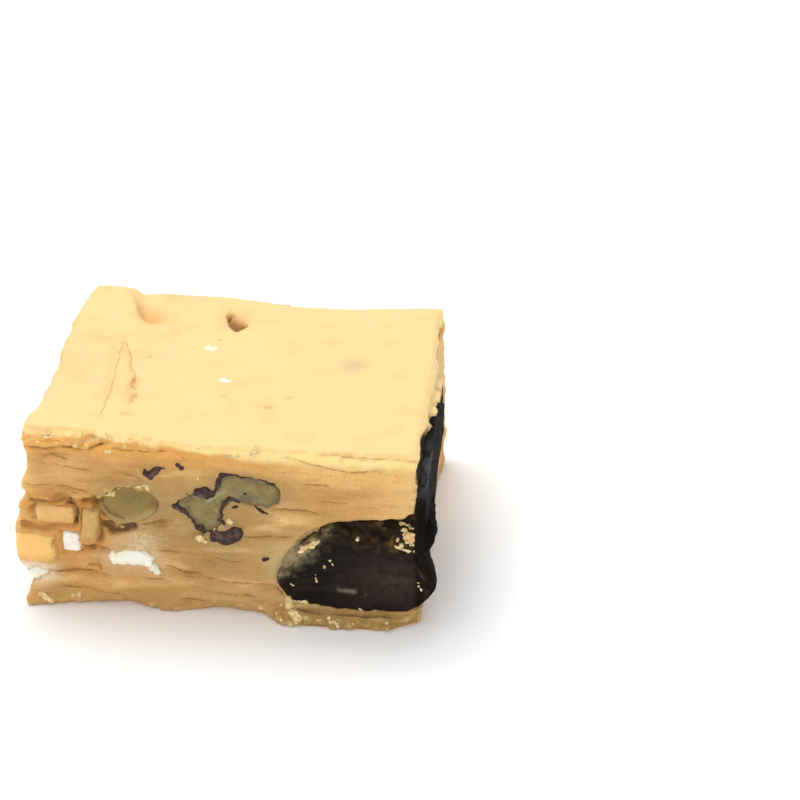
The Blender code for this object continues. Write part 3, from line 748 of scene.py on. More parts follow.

# %% [markdown]
# ## Painting the fudge
# The poured top is pale and waxy. The cut faces are a deeper caramel, greyer and darker in the
# middle round the nuts by painted shade, brighter at the ends and at the upper right by painted
# light, and orange in a band under the rim. A colour at every point, laid over the one before it
# where a rule says so, carries these broad changes; the material adds what is finer than the mesh.

# %% Colours of the fudge
TOP_COLOUR = (0.80, 0.56, 0.265)
TOP_WARM = (0.82, 0.50, 0.20)
WALL_COLOUR = (0.65, 0.352, 0.114)
WALL_SHADE = (0.37, 0.24, 0.09)
PAINTED_WALL_LIGHT = (0.88, 0.56, 0.20)
BAND = (0.94, 0.46, 0.105)
RIM_COLOUR = (1.0, 0.76, 0.32)
CREAM = (0.98, 0.84, 0.48)
BROWN = (0.38, 0.155, 0.035)
FOOT_COLOUR = (0.42, 0.27, 0.095)
SHADED_LIP = (0.345, 0.205, 0.06)

# %% Where the broad colours go
# the middle of the cut faces, round the nuts, which gets painted shade
middle = blob(x, z, (-1.0, 13.0), 9.5, wide=1.25)
clouds = ramp(-0.5, 0.6, grain(spots, 5.0, 12.0) + 0.5 * grain(spots, 2.0, 13.0))
lit_ends = np.clip(ramp(-22.5, -26.0, x) + ramp(17.0, 25.0, x), 0.0, 1.0)
rim_height = TOP + 0.2 - 2.0 * ramp(-15.0, 8.0, x) + 0.3 * wander + 0.5 * grain(spots, 2.2, 23.0)
painted_ridge_light = ramp(0.05, 0.65, ridges) + 5.0 * lumps
band = bell(z, rim_height - 0.9, 1.5) * wall * (0.75 + 0.35 * wander)
fade = 0.35 + 0.9 * ramp(0.0, 12.0, x)  # the rim's lower edge is softer at the right

# %% Walls, top and rim
paint = layered(
    plain(spots, WALL_COLOUR),
    ((0.60, 0.32, 0.095), 0.5 * clouds),
    # painted shade: the middle of the cut faces greyer and darker
    (WALL_SHADE, 0.95 * middle * (0.65 + 0.35 * clouds) * wall),
    # painted light on the ridges and lumps
    ((0.86, 0.56, 0.235), 0.42 * painted_ridge_light * wall),
    # painted shade between the ridges
    ((0.46, 0.26, 0.080), 0.5 * ramp(0.05, 0.65, -ridges) * wall),
    (FOOT_COLOUR, 0.25 * ramp(5.0, 1.0, z) * wall * (1.0 - lit_ends)),
    ((0.62, 0.41, 0.17), 0.7 * blob(x, z, (1.0, 2.5), 2.6, wide=1.6) * front),
    # painted light: the two ends of the block lighter
    (PAINTED_WALL_LIGHT, 0.9 * lit_ends * wall * ramp(2.0, 7.0, z)),
    (BAND, 0.9 * band * (1.0 - 0.7 * ramp(-2.0, 14.0, x))),
    # painted light: the cut faces under the rim lighter towards the right
    (PAINTED_WALL_LIGHT, 0.7 * bell(z, rim_height - 1.2, 1.8) * wall * ramp(2.0, 14.0, x)),
    (TOP_COLOUR, upward),
    (TOP_WARM, upward * ramp(0.1, 0.7, grain(spots, 3.5, 14.0)) * 0.7),
    ((0.92, 0.50, 0.13), 0.9 * bell(z, 24.9, 0.75) * crust_on * ramp(-0.9, 0.1, ragged)),
    (RIM_COLOUR, ramp(-fade, 0.35, z - rim_height) * (1.0 - 0.8 * upward)),
)

# %% [markdown]
# ## Stains, cracks and gaps
# Every piece stains the fudge round it, and the stain dies away over about a millimetre. Cracks,
# torn lines, the lips over a cut piece and the sunken gaps round it get brown painted shade. The
# order counts: what comes later lies on top.

# %% Stains round the pieces
for node, piece in PIECES.items():
    stain = np.exp(-np.maximum(distance[node] - piece.closed, 0.0) / (0.6 * piece.reach))
    paint = layered(paint, (piece.tint, piece.share * stain * wall * (0.75 + 0.35 * wander)))
milky = blob(x, z, (-10.6, 10.6), 1.5, wide=1.4) * front
soft_corner = blob(x, z, (-24.9, 5.1), 1.5, wide=1.4) * (1.0 - ramp(FRONT + 4.0, FRONT + 6.0, y))
paint = layered(
    paint,
    (MILKY, 0.3 * milky * ramp(-0.6, 0.2, ragged)),
    ((0.97, 0.87, 0.68), np.clip(1.2 * soft_corner, 0.0, 0.95) * ramp(-1.2, -0.2, wander)),
    # painted shade in the deeper cracks
    (BROWN, 0.9 * ramp(0.28, 0.65, crack_depth) * wall),
    (PALE, 0.6 * blob(x, z, (6.6, 8.8), 1.5, wide=1.2, high=1.8) * front),
    # painted shade in the torn lines
    ((0.60, 0.27, 0.06), 0.35 * tears * torn_zone * wall),
    # painted shade on the lips over the cut pieces and in the sunken gaps round them
    (BROWN, 0.45 * lips * wall),
    (BROWN, 0.8 * opened * (1.0 - smeared)),
    ((0.022, 0.014, 0.010), over_chunk * (1.0 - smeared)),
    ((0.42, 0.34, 0.17), 0.8 * over_chunk * smeared),
    # painted shade in the gaps between the pieces at the left, darkest in their middle
    ((0.30, 0.115, 0.025), 0.8 * crevice_shade),
    ((0.12, 0.055, 0.022), 0.9 * ramp(0.6, 1.0, crevice_shade)),
)

# %% Marks and painted shade of the top, the foot and the rim
# warm painted shade in the hollows of the top, and a warm tint where there is no hollow
for across, deep, radius, _, strength in TOP_SHADES:
    shade = blob(x, y, (across, deep), radius) * upward
    paint = layered(paint, ((0.74, 0.40, 0.12), strength * shade * (0.8 + 0.4 * wander)))
for dot in TOP_DOTS:
    paint = layered(paint, (BROWN, 0.6 * blob(x, y, dot, 0.28) * upward))
crumbly = (rim * (0.3 + 0.7 * front) + torn_edge + 0.3 * foot) * (1.0 - over_chunk)
paint = layered(
    paint,
    ((0.45, 0.36, 0.22), 0.5 * blob(x, y, (14.2, 2.2), 2.0) * upward),
    # painted shade beside the fold
    ((0.70, 0.39, 0.135), 0.9 * fold_on * bell(fold, 0.9, 1.1) * ramp(21.0, 13.0, y)),
    # painted shade in the hole
    ((0.50, 0.29, 0.10), hole),
    # painted shade on the lip under the chunk
    (SHADED_LIP, 0.85 * lip),
    ((0.66, 0.50, 0.23), lip * ramp(-0.1, 0.6, ragged) * (1.0 - 0.75 * ramp(9.0, 14.0, x))),
    (CREAM, 0.8 * ramp(0.3, 0.8, ragged) * np.clip(crumbly, 0.0, 1.0)),
)
set_paint(fudge, paint)
print("mean colour of the fudge:", paint.mean(axis=0).round(2).tolist())

# %% Numbers for the material and the crumbs
set_value(fudge, "milk", milky)
set_value(fudge, "cut", wall * ramp(0.4, -0.4, z - rim_height))
set_value(fudge, "line_side", np.clip(line_side, -FAR, FAR))
set_value(fudge, "line_on", np.clip(line_on, 0.0, 1.0))
crumbs_here = 0.4 * rim * ramp(0.0, 0.5, ragged) * front + 0.8 * torn_edge
crumbs_here += (0.1 * foot + 0.5 * lip) * ramp(0.0, 0.5, ragged) + 0.003 * wall * front
crumbs_here *= (z > 0.5) * (opened < 0.2)
set_value(fudge, "crumby", np.clip(crumbs_here, 0.0, 1.0))

# %% [markdown]
# ## The finish of the fudge
# Light goes a little way into fudge, so the material has subsurface scattering with a reach that
# is longest for red: it makes thin edges glow. The dark crack lines are painted shade, drawn here
# from the signed distances, because a line thinner than a face cannot be painted on points. The
# halo round the cracks and the torn lines are painted shade as well.

# %% Fudge material
def fudge_look():
    look = Look("fudge", {"IOR": 1.45, **waxy(0.3, (1.0, 0.45, 0.18), 1.6, 0.25)})
    cut, line_on, line_side = look.value("cut"), look.value("line_on"), look.value("line_side")
    waver = (look.noise(0.5, 3.0, shift=3.0) - 0.5) * 1.6
    line = 1.0 - look.step(look.size_of(line_side + waver), 0.3, 1.3)
    line = line * look.step(line_on, 0.15, 0.7) * look.blotches(1.1, 0.36, 0.52, 3.0, shift=17.0)
    halo = (1.0 - look.step(look.size_of(line_side), 0.5, 5.0)) * line_on
    flow = look.blotches(0.8, 0.45, 0.75, stretch=(6.0, 6.0, 1.0), shift=2.0)
    contour = look.noise(1.5, 3.0, (6.0, 6.0, 1.0), 8.0) - 0.5
    torn = 1.0 - look.step(look.size_of(contour), 0.0, 0.035)
    torn = torn * look.blotches(2.6, 0.5, 0.62, 2.0, shift=4.0) * cut
    fine = look.noise(0.42, 4.0, shift=5.0)
    milk = look.value("milk") * look.blotches(0.4, 0.38, 0.8, shift=12.0) * 0.45
    haze = look.blotches(1.6, 0.5, 0.75, stretch=(4.0, 1.0, 1.0), shift=15.0) * (1.0 - cut)
    colour = look.coats(
        look.paint(),
        ((0.48, 0.26, 0.08), cut * flow * 0.25),
        ((0.84, 0.57, 0.27), look.step(fine, 0.5, 0.8) * cut * 0.22),
        ((0.46, 0.25, 0.08), look.step(fine, 0.5, 0.25) * cut * 0.3),
        # painted shade round the cracks and in the torn lines
        ((0.56, 0.27, 0.06), halo * (0.15 + 0.2 * cut)),
        ((0.40, 0.17, 0.03), torn * 0.22),
        ((1.0, 0.93, 0.80), milk),
        # painted shade in the crack lines
        ((0.27, 0.11, 0.03), line * (0.22 + 0.38 * cut)),
        ((0.86, 0.54, 0.225), haze * 0.5),
    )
    height = fine * 0.55 + look.noise(0.2, 2.0, shift=9.0) * 0.2 + flow * 0.3
    height = height * (0.1 + 0.9 * cut) - line * 0.6 - torn * 0.35
    normal = look.bump(height, 0.24, 0.65)
    return look.feed({"Base Color": colour, "Roughness": 0.48 + 0.14 * cut, "Normal": normal})


# %% Finish a piece
def finished(obj, look, slot, *nodes):
    """Gives a piece its material and smooth shading, hangs it under the root body and hides the CAD nodes it
    stands for.
    """
    obj.data.materials.clear()
    obj.data.materials.append(look)
    obj.data.shade_smooth()
    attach(obj, "root")
    if nodes:
        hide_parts(*nodes)
    return obj


finished(fudge, fudge_look(), "fudge", "fudge")

# %% [markdown]
# ## Fine copies of the pieces
# Each piece is remeshed like the fudge, roughened by noise and painted by rules of its own.

# %% Remesh and roughen a piece
laid = [fudge]  # everything that a scrap can lie on


def dressed(node):
    piece = PIECES[node]
    bm = shell(node, piece.grow, piece.walls)
    obj = smoothed(remeshed(as_object(node + "_fine", [bm]), piece.voxel), piece.rounds)
    here, outward = points_of(obj), normals_of(obj)
    seed = seed_of[node]
    rough = grain(here, piece.lump, seed) + 0.5 * grain(here, piece.lump * 0.45, seed + 3.0)
    set_points(obj, here + outward * (piece.relief * rough)[:, None])
    laid.append(obj)
    return obj


# %% [markdown]
# ## Dark chocolate
# Chocolate that was stored warm is nearly black where the knife cut it, and dull rather than
# shiny. Scrapes and grit of slightly different browns, with lighter patches that are painted
# highlights, are enough: at this size the eye reads them as a rough cut.

# %% Chocolate material
CHOCOLATE = (0.0135, 0.0095, 0.0080)


def chocolate_look():
    look = Look("chocolate", {"Specular IOR Level": 0.04, "IOR": 1.46})
    scrape = look.blotches(0.9, 0.42, 0.72, 5.0, stretch=(3.0, 3.0, 1.0), shift=1.0)
    patches = look.blotches(2.2, 0.45, 0.7, 5.0, stretch=(1.6, 1.6, 1.0), shift=5.0)
    grit = look.blotches(0.3, 0.58, 0.8, shift=3.0)
    sheen_and_scuffs = look.value("sheen_and_scuffs")
    colour = look.coats(
        look.paint(),
        ((0.040, 0.026, 0.024), scrape * sheen_and_scuffs * 0.45),
        # painted highlights: lighter patches on the front
        ((0.045, 0.031, 0.025), patches * sheen_and_scuffs * 0.3),
        ((0.085, 0.060, 0.048), grit * sheen_and_scuffs * 0.55),
    )
    rough = 0.7 + 0.2 * scrape - 0.15 * sheen_and_scuffs
    normal = look.bump(look.noise(0.45, 5.0, shift=6.0) * 0.7 + scrape * 0.3, 0.35, 0.8)
    return look.feed({"Base Color": colour, "Roughness": rough, "Normal": normal})


CHOCOLATE_LOOK = chocolate_look()

# %% [markdown]
# ## Film, scuffs and bloom on the chocolate
# At the chunk's upper left the fudge is smeared over it in a thin film that goes from tan over
# grey to nothing. Its broken upper face is brown and coarse, the side is painted darker as shade
# and has a grey bloom at the top and tan smears, the front has a lighter patch of painted
# highlight at its lower right, and the knife left a pale scuff. Pale streaks run along the right
# edge and the corner.

# %% Paint the chocolate
FILM_EDGE = ((5.5, 5.6), (7.6, 6.9), (9.6, 8.4), (11.2, 10.2), (12.4, 11.8), (14.5, 13.0))
SCUFF = ((14.4, 5.1), (16.4, 4.9), (18.0, 4.6))
CORNER_STREAK = ((26.6, 5.4), (27.0, 3.6))
EDGE_STREAK = ((25.0, 12.5), (25.3, 9.5), (25.8, 6.5))


def paint_chocolate(obj):
    """Paints a piece. Gives back how its points move where it is broken or filmed over."""
    here, outward = points_of(obj), normals_of(obj)
    across, deep, high = here.T
    cloud = grain(here, 1.1, 2.0) + 0.5 * grain(here, 0.5, 3.0)
    patchy = ramp(-0.2, 0.5, cloud)
    on_front = ramp(FRONT + 4.0, FRONT + 2.0, deep)
    on_side = ramp(24.2, 25.0, across)
    broken = ramp(11.0, 12.6, high + 0.5 * cloud) * (1.0 - on_side) * on_front
    speckle = grain(here, 0.45, 9.0)
    film = beside(across, high, FILM_EDGE) + 0.8 * cloud + 0.7 * speckle
    broken_edge = near(across, high, CHUNK_OUTLINE[2:7]) + 0.4 * cloud
    near_left = on_front * ramp(14.5, 12.5, across) * ramp(0.2, 0.9, broken_edge)
    film_specks = 0.6 * ramp(0.2, 1.5, film) * ramp(0.1, 0.5, speckle)
    sheen_and_scuffs = blob(across, high, (22.0, 7.0), 3.4, wide=1.4) * ramp(-1.4, 0.6, cloud)
    # pale streaks along the chunk's right edge and at its lower corner
    pale_streaks = stroke(across, high, CORNER_STREAK, 0.7)
    pale_streaks += 0.8 * stroke(across, high, EDGE_STREAK, 0.3)
    bloom = bell(high, 22.0, 1.9) * on_side * ramp(-0.8, 0.4, cloud) * ramp(-10.0, -15.0, deep)
    smear = on_side * ramp(0.45, 0.8, grain(here, 1.5, 8.0)) * ramp(-15.0, -10.0, deep)
    colours = layered(
        plain(here, CHOCOLATE),
        ((0.050, 0.030, 0.012), broken * (0.5 + 0.8 * cloud)),
        ((0.20, 0.095, 0.02), 0.8 * broken * bell(across, 21.5, 2.2) * ramp(0.0, 0.4, cloud)),
        ((0.13, 0.115, 0.068), 0.9 * ramp(-1.2, 0.4, film) * near_left),
        ((0.36, 0.28, 0.135), ramp(0.0, 1.3, film) * near_left),
        ((0.46, 0.39, 0.23), film_specks * near_left),
        # painted highlight: a lighter patch at the lower right of the front
        ((0.062, 0.043, 0.033), 0.9 * sheen_and_scuffs * on_front),
        ((0.20, 0.175, 0.13), stroke(across, high, SCUFF, 0.35) * patchy * on_front),
        ((0.27, 0.175, 0.10), pale_streaks * patchy * 0.8),
        # painted shade: the side darker than the front
        ((0.005, 0.004, 0.003), 0.7 * on_side),
        ((0.095, 0.10, 0.105), 0.8 * bloom),
        ((0.13, 0.08, 0.035), 0.4 * smear),
    )
    set_paint(obj, colours)
    # how strongly the scrapes, grit and painted highlights show: full on the front, little on the side
    set_value(obj, "sheen_and_scuffs", 1.0 - 0.8 * on_side)
    filmed = ramp(0.2, 1.7, film) * near_left
    return outward * (0.55 * broken * cloud + 0.3 * filmed)[:, None]


# %% Make the three pieces of chocolate
for node in ("chocolate_chunk", "chocolate_left", "chocolate_back"):
    piece = dressed(node)
    moved = paint_chocolate(piece)
    if node == "chocolate_chunk":
        chunk = piece
        drawn_in = points_of(chunk) + moved
        drawn_in[:, 0] -= waist(drawn_in)
        set_points(chunk, drawn_in)
        across, deep, high = drawn_in.T
        fluff = 0.6 * blob(across, high, (23.6, 13.4), 0.9, high=1.0 / 0.75)
        fluff *= deep < FRONT + 4.0
        specks = 0.003 * ramp(24.4, 24.0, across) * ramp(2.5, 3.5, high) * (deep < FRONT + 2.0)
        set_value(chunk, "crumby", fluff + specks)
    finished(piece, CHOCOLATE_LOOK, "chocolate", node)
    print(node, len(piece.data.vertices), "points")

# %% [markdown]
# ## Walnuts
# A walnut shows a greyish green kernel where the knife went through it, and its thin dark skin
# wherever it was not cut: at the sides, and in a broken rim along the edge. Two materials are
# used, because the dark chips of skin are pieces of their own.

# %% Walnut materials
KERNEL = (0.225, 0.180, 0.064)
KERNEL_PALE = (0.315, 0.265, 0.115)
SKIN = (0.050, 0.026, 0.020)


def skin_look():
    look = Look("walnut_skin", {"Specular IOR Level": 0.25})
    streaks = look.noise(0.6, 4.0, shift=2.0)
    colour = look.mix(look.step(streaks, 0.35, 0.7), (0.030, 0.014, 0.010), (0.075, 0.042, 0.036))
    colour = look.mix(look.blotches(0.9, 0.52, 0.7, shift=6.0) * 0.7, colour, (0.17, 0.105, 0.075))
    normal = look.bump(streaks, 0.25, 0.6)
    return look.feed({"Base Color": colour, "Roughness": 0.4 + 0.3 * streaks, "Normal": normal})


KERNEL_LOOK = blotchy_look(
    "walnut_kernel", 0.6, (0.15, (0.8, 0.6, 0.3), 0.6, 0.2),
    (
        (KERNEL_PALE, 0.6, (0.8, 0.45, 0.75, 4.0, 1.0)),
        ((0.15, 0.11, 0.05), 0.6, (0.45, 0.62, 0.75, 3.0, 4.0)),
    ), (0.4, 4.0, 2.0, 0.2),
)
SKIN_LOOK = skin_look()

# %% Marks of the two kernels of the front
VEIN = ((-1.6, 17.5), (-0.2, 18.6), (0.6, 19.0))
GROOVE = ((2.2, 18.1), (3.6, 17.9), (4.4, 18.0))
SKIN_ARC = ((-15.6, 16.8), (-15.4, 15.5), (-14.8, 14.4), (-13.8, 13.9), (-13.0, 13.6))


def large_kernel(colours, across, high, edge):
    return layered(
        colours,
        ((0.150, 0.110, 0.055), 0.8 * ramp(0.8, 0.1, edge)),
        ((0.40, 0.34, 0.19), 0.8 * stroke(across, high, VEIN, 0.35)),
        ((0.165, 0.150, 0.085), 0.7 * stroke(across, high, GROOVE, 0.5)),
        ((0.17, 0.12, 0.085), blob(across, high, (3.0, 17.7), 0.9)),
    )


def round_kernel(colours, across, high, edge):
    return layered(
        plain(colours, (0.30, 0.21, 0.062)),
        ((0.22, 0.15, 0.040), 0.9 * blob(across, high, (-11.6, 16.9), 1.3, wide=1.5)),
        ((0.44, 0.30, 0.115), ramp(1.3, 0.3, edge) * ramp(15.8, 14.6, high)),
        ((0.22, 0.14, 0.045), blob(across, high, (-8.9, 16.2), 0.9)),
        ((0.11, 0.062, 0.022), 0.8 * stroke(across, high, SKIN_ARC, 0.26)),
    )


# %% Make the walnuts
for node in ("walnut", "walnut_round", "walnut_left", "walnut_back"):
    piece = dressed(node)
    here, outward = points_of(piece), normals_of(piece)
    across, _, high = here.T
    cloud = grain(here, 1.2, 5.0) + 0.5 * grain(here, 0.5, 6.0)
    axis = PIECES[node].walls[0][0]
    uncut = 1.0 - ramp(0.45, 0.85, np.abs(outward[:, axis]))
    colours = layered(plain(here, KERNEL), (KERNEL_PALE, 0.6 * ramp(-0.2, 0.6, cloud)))
    if node == "walnut":
        edge = inside(across, high, OUTLINES[node]) + 0.2 * cloud
        colours = large_kernel(colours, across, high, edge)
        uncut = uncut * (edge < 0.3)
    if node == "walnut_round":
        depth_in = inside(across, high, OUTLINES[node])
        colours = round_kernel(colours, across, high, depth_in + 0.25 * cloud)
        uncut = uncut * 0.0
        here[:, 1] += 0.9 * ramp(0.0, -0.35, depth_in)
        set_points(piece, here)
    set_paint(piece, layered(colours, (SKIN, uncut)))
    finished(piece, KERNEL_LOOK, "walnut", node)
    print(node, len(here), "points")
finished(dressed("walnut_skin"), SKIN_LOOK, "walnut_skin", "walnut_skin")

# %% [markdown]
# ## Marshmallow and caramel bits
# Marshmallow scatters light so much that it has hardly any shading of its own. The blond bits are
# sugar, so they let light through too, and are painted darker only towards their foot, which is
# painted shade.

# %% Finish of the marshmallow and the bits
SOFT_LOOKS = {
    "marshmallow": blotchy_look(
        "marshmallow", 0.75, (0.6, (1.0, 0.8, 0.6), 0.9, 0.15),
        (((0.90, 0.72, 0.50), 0.6, (0.9, 0.5, 0.72, 5.0, 3.0)),), (0.4, 4.0, 2.0, 0.25),
    ),
    "caramel_bit": blotchy_look(
        "caramel_bit", 0.5, (0.4, (1.0, 0.5, 0.2), 1.4, 0.25),
        (((0.90, 0.60, 0.25), 0.4, (1.1, 0.4, 0.75, 4.0, 6.0)),), (0.5, 3.0, 2.0, 0.2),
    ),
}

# %% Colours of the marshmallow and the bits
MALLOW = (1.0, 0.98, 0.87)
CREAMY = (0.97, 0.87, 0.66)
FILMED = {"marshmallow_corner": 0.7, "marshmallow_cube": 0.3}  # how much of it fudge veils
BIT_COLOURS = {
    "caramel_bit_a": (0.76, 0.46, 0.165), "caramel_bit_b": (0.95, 0.58, 0.185),
    "caramel_bit_c": (0.58, 0.375, 0.135),
}


def paint_mallow(obj, node):
    here = points_of(obj)
    cloud = grain(here, 1.1, 3.0) + 0.6 * grain(here, 0.45, 4.0)
    veil = FILMED.get(node, 0.35) * ramp(-0.5, 0.3, cloud)
    colours = layered(plain(here, MALLOW), (CREAMY, veil))
    if node in OUTLINES:
        edge = inside(here[:, 0], here[:, 2], OUTLINES[node]) + 0.3 * cloud
        colours = layered(colours, (CREAMY, 0.8 * ramp(0.6, 0.05, edge)))
    set_paint(obj, colours)


def paint_bit(obj, node):
    """Paints a bit darker towards its foot, as painted shade."""
    here = points_of(obj)
    low, high = here[:, 2].min(), here[:, 2].max()
    shade = ramp(low + 0.45 * (high - low), low, here[:, 2] + 0.3 * grain(here, 0.8, 2.0))
    set_paint(obj, layered(plain(here, BIT_COLOURS[node]), ((0.56, 0.26, 0.05), 0.75 * shade)))


# %% Make the marshmallows and the bits
for node, piece in PIECES.items():
    if piece.slot in SOFT_LOOKS:
        made = dressed(node)
        if node == "caramel_bit_b":
            here = points_of(made)
            here[:, 0] -= shelf(here)
            set_points(made, here)
        if node in BIT_COLOURS:
            paint_bit(made, node)
        else:
            paint_mallow(made, node)
        finished(made, SOFT_LOOKS[piece.slot], piece.slot, node)
        print(node, len(made.data.vertices), "points")

# %% [markdown]
# ## Skins, chips and flakes
# Scraps of nut skin and flakes of fudge have no shape of their own to speak of. Each is a row of
# balls of uneven size along a path, remeshed into one skin and roughened. It is quicker than
# modelling them one by one and gives no two alike.

# %% Find the surface
def landing(across, up, face):
    """The point of the dressed part that is met when looking at a face from outside, in mm."""
    axis, sign = face
    start, aim = [across, up], [0.0, 0.0]
    start.insert(axis, 60.0 * sign)
    aim.insert(axis, -float(sign))
    start = Vector(start)
    hits = [obj.ray_cast(start * MM, Vector(aim)) for obj in laid]
    found = [hit[1] / MM for hit in hits if hit[0]]
    return min(found, key=lambda point: (point - start).length)


# %% Make a scrap
SCRAP_VOXEL = 0.11
STEP = 0.22  # between two balls of a scrap, in mm


def scrap(name, path, look, slot, face=FRONT_FACE, sunk=0.0, flat=0.6, loose=0.25):
    """A remeshed row of balls on a face. A stop of the path is two places and a radius in mm."""
    axis, sign = face
    bm = bmesh.new()
    for first, last in zip(path, path[1:] + path[-1:]):
        length = math.hypot(last[0] - first[0], last[1] - first[1])
        steps = max(1, int(length / STEP))
        for number in range(steps):
            share = number / steps
            across, high, radius = (a + (b - a) * share for a, b in zip(first, last))
            radius *= drawn.uniform(1.0 - loose, 1.2)
            shape = [drawn.uniform(1.0 - loose, 1.0 + loose) for _ in range(2)]
            shape.insert(axis, flat)
            wobble = radius * 1.4 * loose
            across += drawn.uniform(-wobble, wobble)
            high += drawn.uniform(-wobble, wobble)
            place = landing(across, high, face)
            place[axis] -= sign * sunk
            spot = Matrix.Translation(place * MM) @ Matrix.Diagonal((*shape, 1.0))
            bmesh.ops.create_icosphere(bm, subdivisions=2, radius=radius * MM, matrix=spot)
    obj = smoothed(remeshed(as_object(name, [bm]), SCRAP_VOXEL), 2)
    here, outward = points_of(obj), normals_of(obj)
    uneven = grain(here, 0.7, 3.0) + 0.5 * grain(here, 0.35, 7.0)
    set_points(obj, here + outward * ((0.05 + 0.14 * loose) * uneven)[:, None])
    return finished(obj, look, slot)


def scraps(name, paths, *finish, **form):
    for number, path in enumerate(paths):
        scrap(f"{name}_{number}", path, *finish, **form)


# %% Dark scraps of skin
SKIN_SCRAPS = (
    ((-3.3, 18.3, 0.35), (-2.2, 18.8, 0.72), (-1.4, 18.5, 0.6), (-0.8, 18.7, 0.32), (-0.4, 19.5, 0.3),
     (-0.1, 20.6, 0.36), (0.4, 21.4, 0.42), (1.2, 21.7, 0.3), (1.8, 21.5, 0.16)),
    ((2.6, 21.3, 0.16), (3.2, 21.2, 0.14)),
    ((-6.1, 16.3, 0.35), (-5.6, 16.1, 0.55), (-4.9, 15.8, 0.34), (-4.2, 14.9, 0.26), (-3.5, 14.0, 0.3),
     (-2.9, 13.3, 0.5), (-2.2, 12.9, 0.42), (-1.5, 12.8, 0.24)),
    ((2.4, 17.4, 0.2), (1.6, 17.9, 0.3), (0.9, 17.9, 0.36), (0.4, 17.3, 0.34), (0.1, 16.4, 0.22),
     (-0.1, 15.5, 0.22), (-0.2, 14.6, 0.34), (0.1, 13.9, 0.26)),
    ((4.6, 21.2, 0.12), (5.6, 20.9, 0.24), (6.4, 20.6, 0.22), (7.0, 20.3, 0.14)),
    ((1.9, 16.8, 0.3), (1.5, 16.4, 0.22)),
    ((-9.3, 21.5, 0.36), (-8.6, 21.1, 0.62), (-8.1, 21.5, 0.5), (-7.7, 22.0, 0.32), (-6.9, 22.1, 0.28)),
    ((-5.1, 22.7, 0.26), (-4.7, 22.2, 0.36)),
    ((4.2, 17.2, 0.12), (4.8, 16.7, 0.26), (5.4, 16.3, 0.2), (5.9, 16.0, 0.18)),
    ((5.6, 16.8, 0.16), (6.1, 17.0, 0.16)),
    ((5.3, 9.2, 0.34), (5.7, 9.1, 0.26)), ((-4.3, 18.2, 0.2),), ((3.1, 18.9, 0.24),),
    ((5.9, 14.1, 0.16), (6.3, 14.2, 0.14)), ((-17.3, 19.7, 0.12),), ((-4.2, 4.0, 0.16),),
)
scraps("skin_scrap", SKIN_SCRAPS, SKIN_LOOK, "walnut_skin")
print(len(SKIN_SCRAPS), "scraps of skin")

# %% [markdown]
# ## Flakes and crust
# Where the fudge broke instead of being cut, pale flakes lie on the face, and the ledge under the
# rim at the left is a crust of small lumps. They are scraps too, in three tones of fudge.

# %% Materials of the flakes
def flake_look(name, dark, light):
    wax = (0.4, (1.0, 0.6, 0.3), 0.6, 0.2)
    coats = ((light, 1.0, (0.5, 0.38, 0.62, 4.0, 4.0)),)
    return blotchy_look(name, 0.6, wax, coats, (0.25, 3.0, 5.0, 0.15), dark)


FLAKE_LOOK = flake_look("fudge_flake", (0.72, 0.47, 0.18), (0.90, 0.73, 0.42))
CRUMB_LOOK = flake_look("fudge_crumb", (0.86, 0.48, 0.14), (0.98, 0.74, 0.34))
SPECK_LOOK = flake_look("pale_speck", (0.97, 0.84, 0.56), (1.0, 0.95, 0.78))

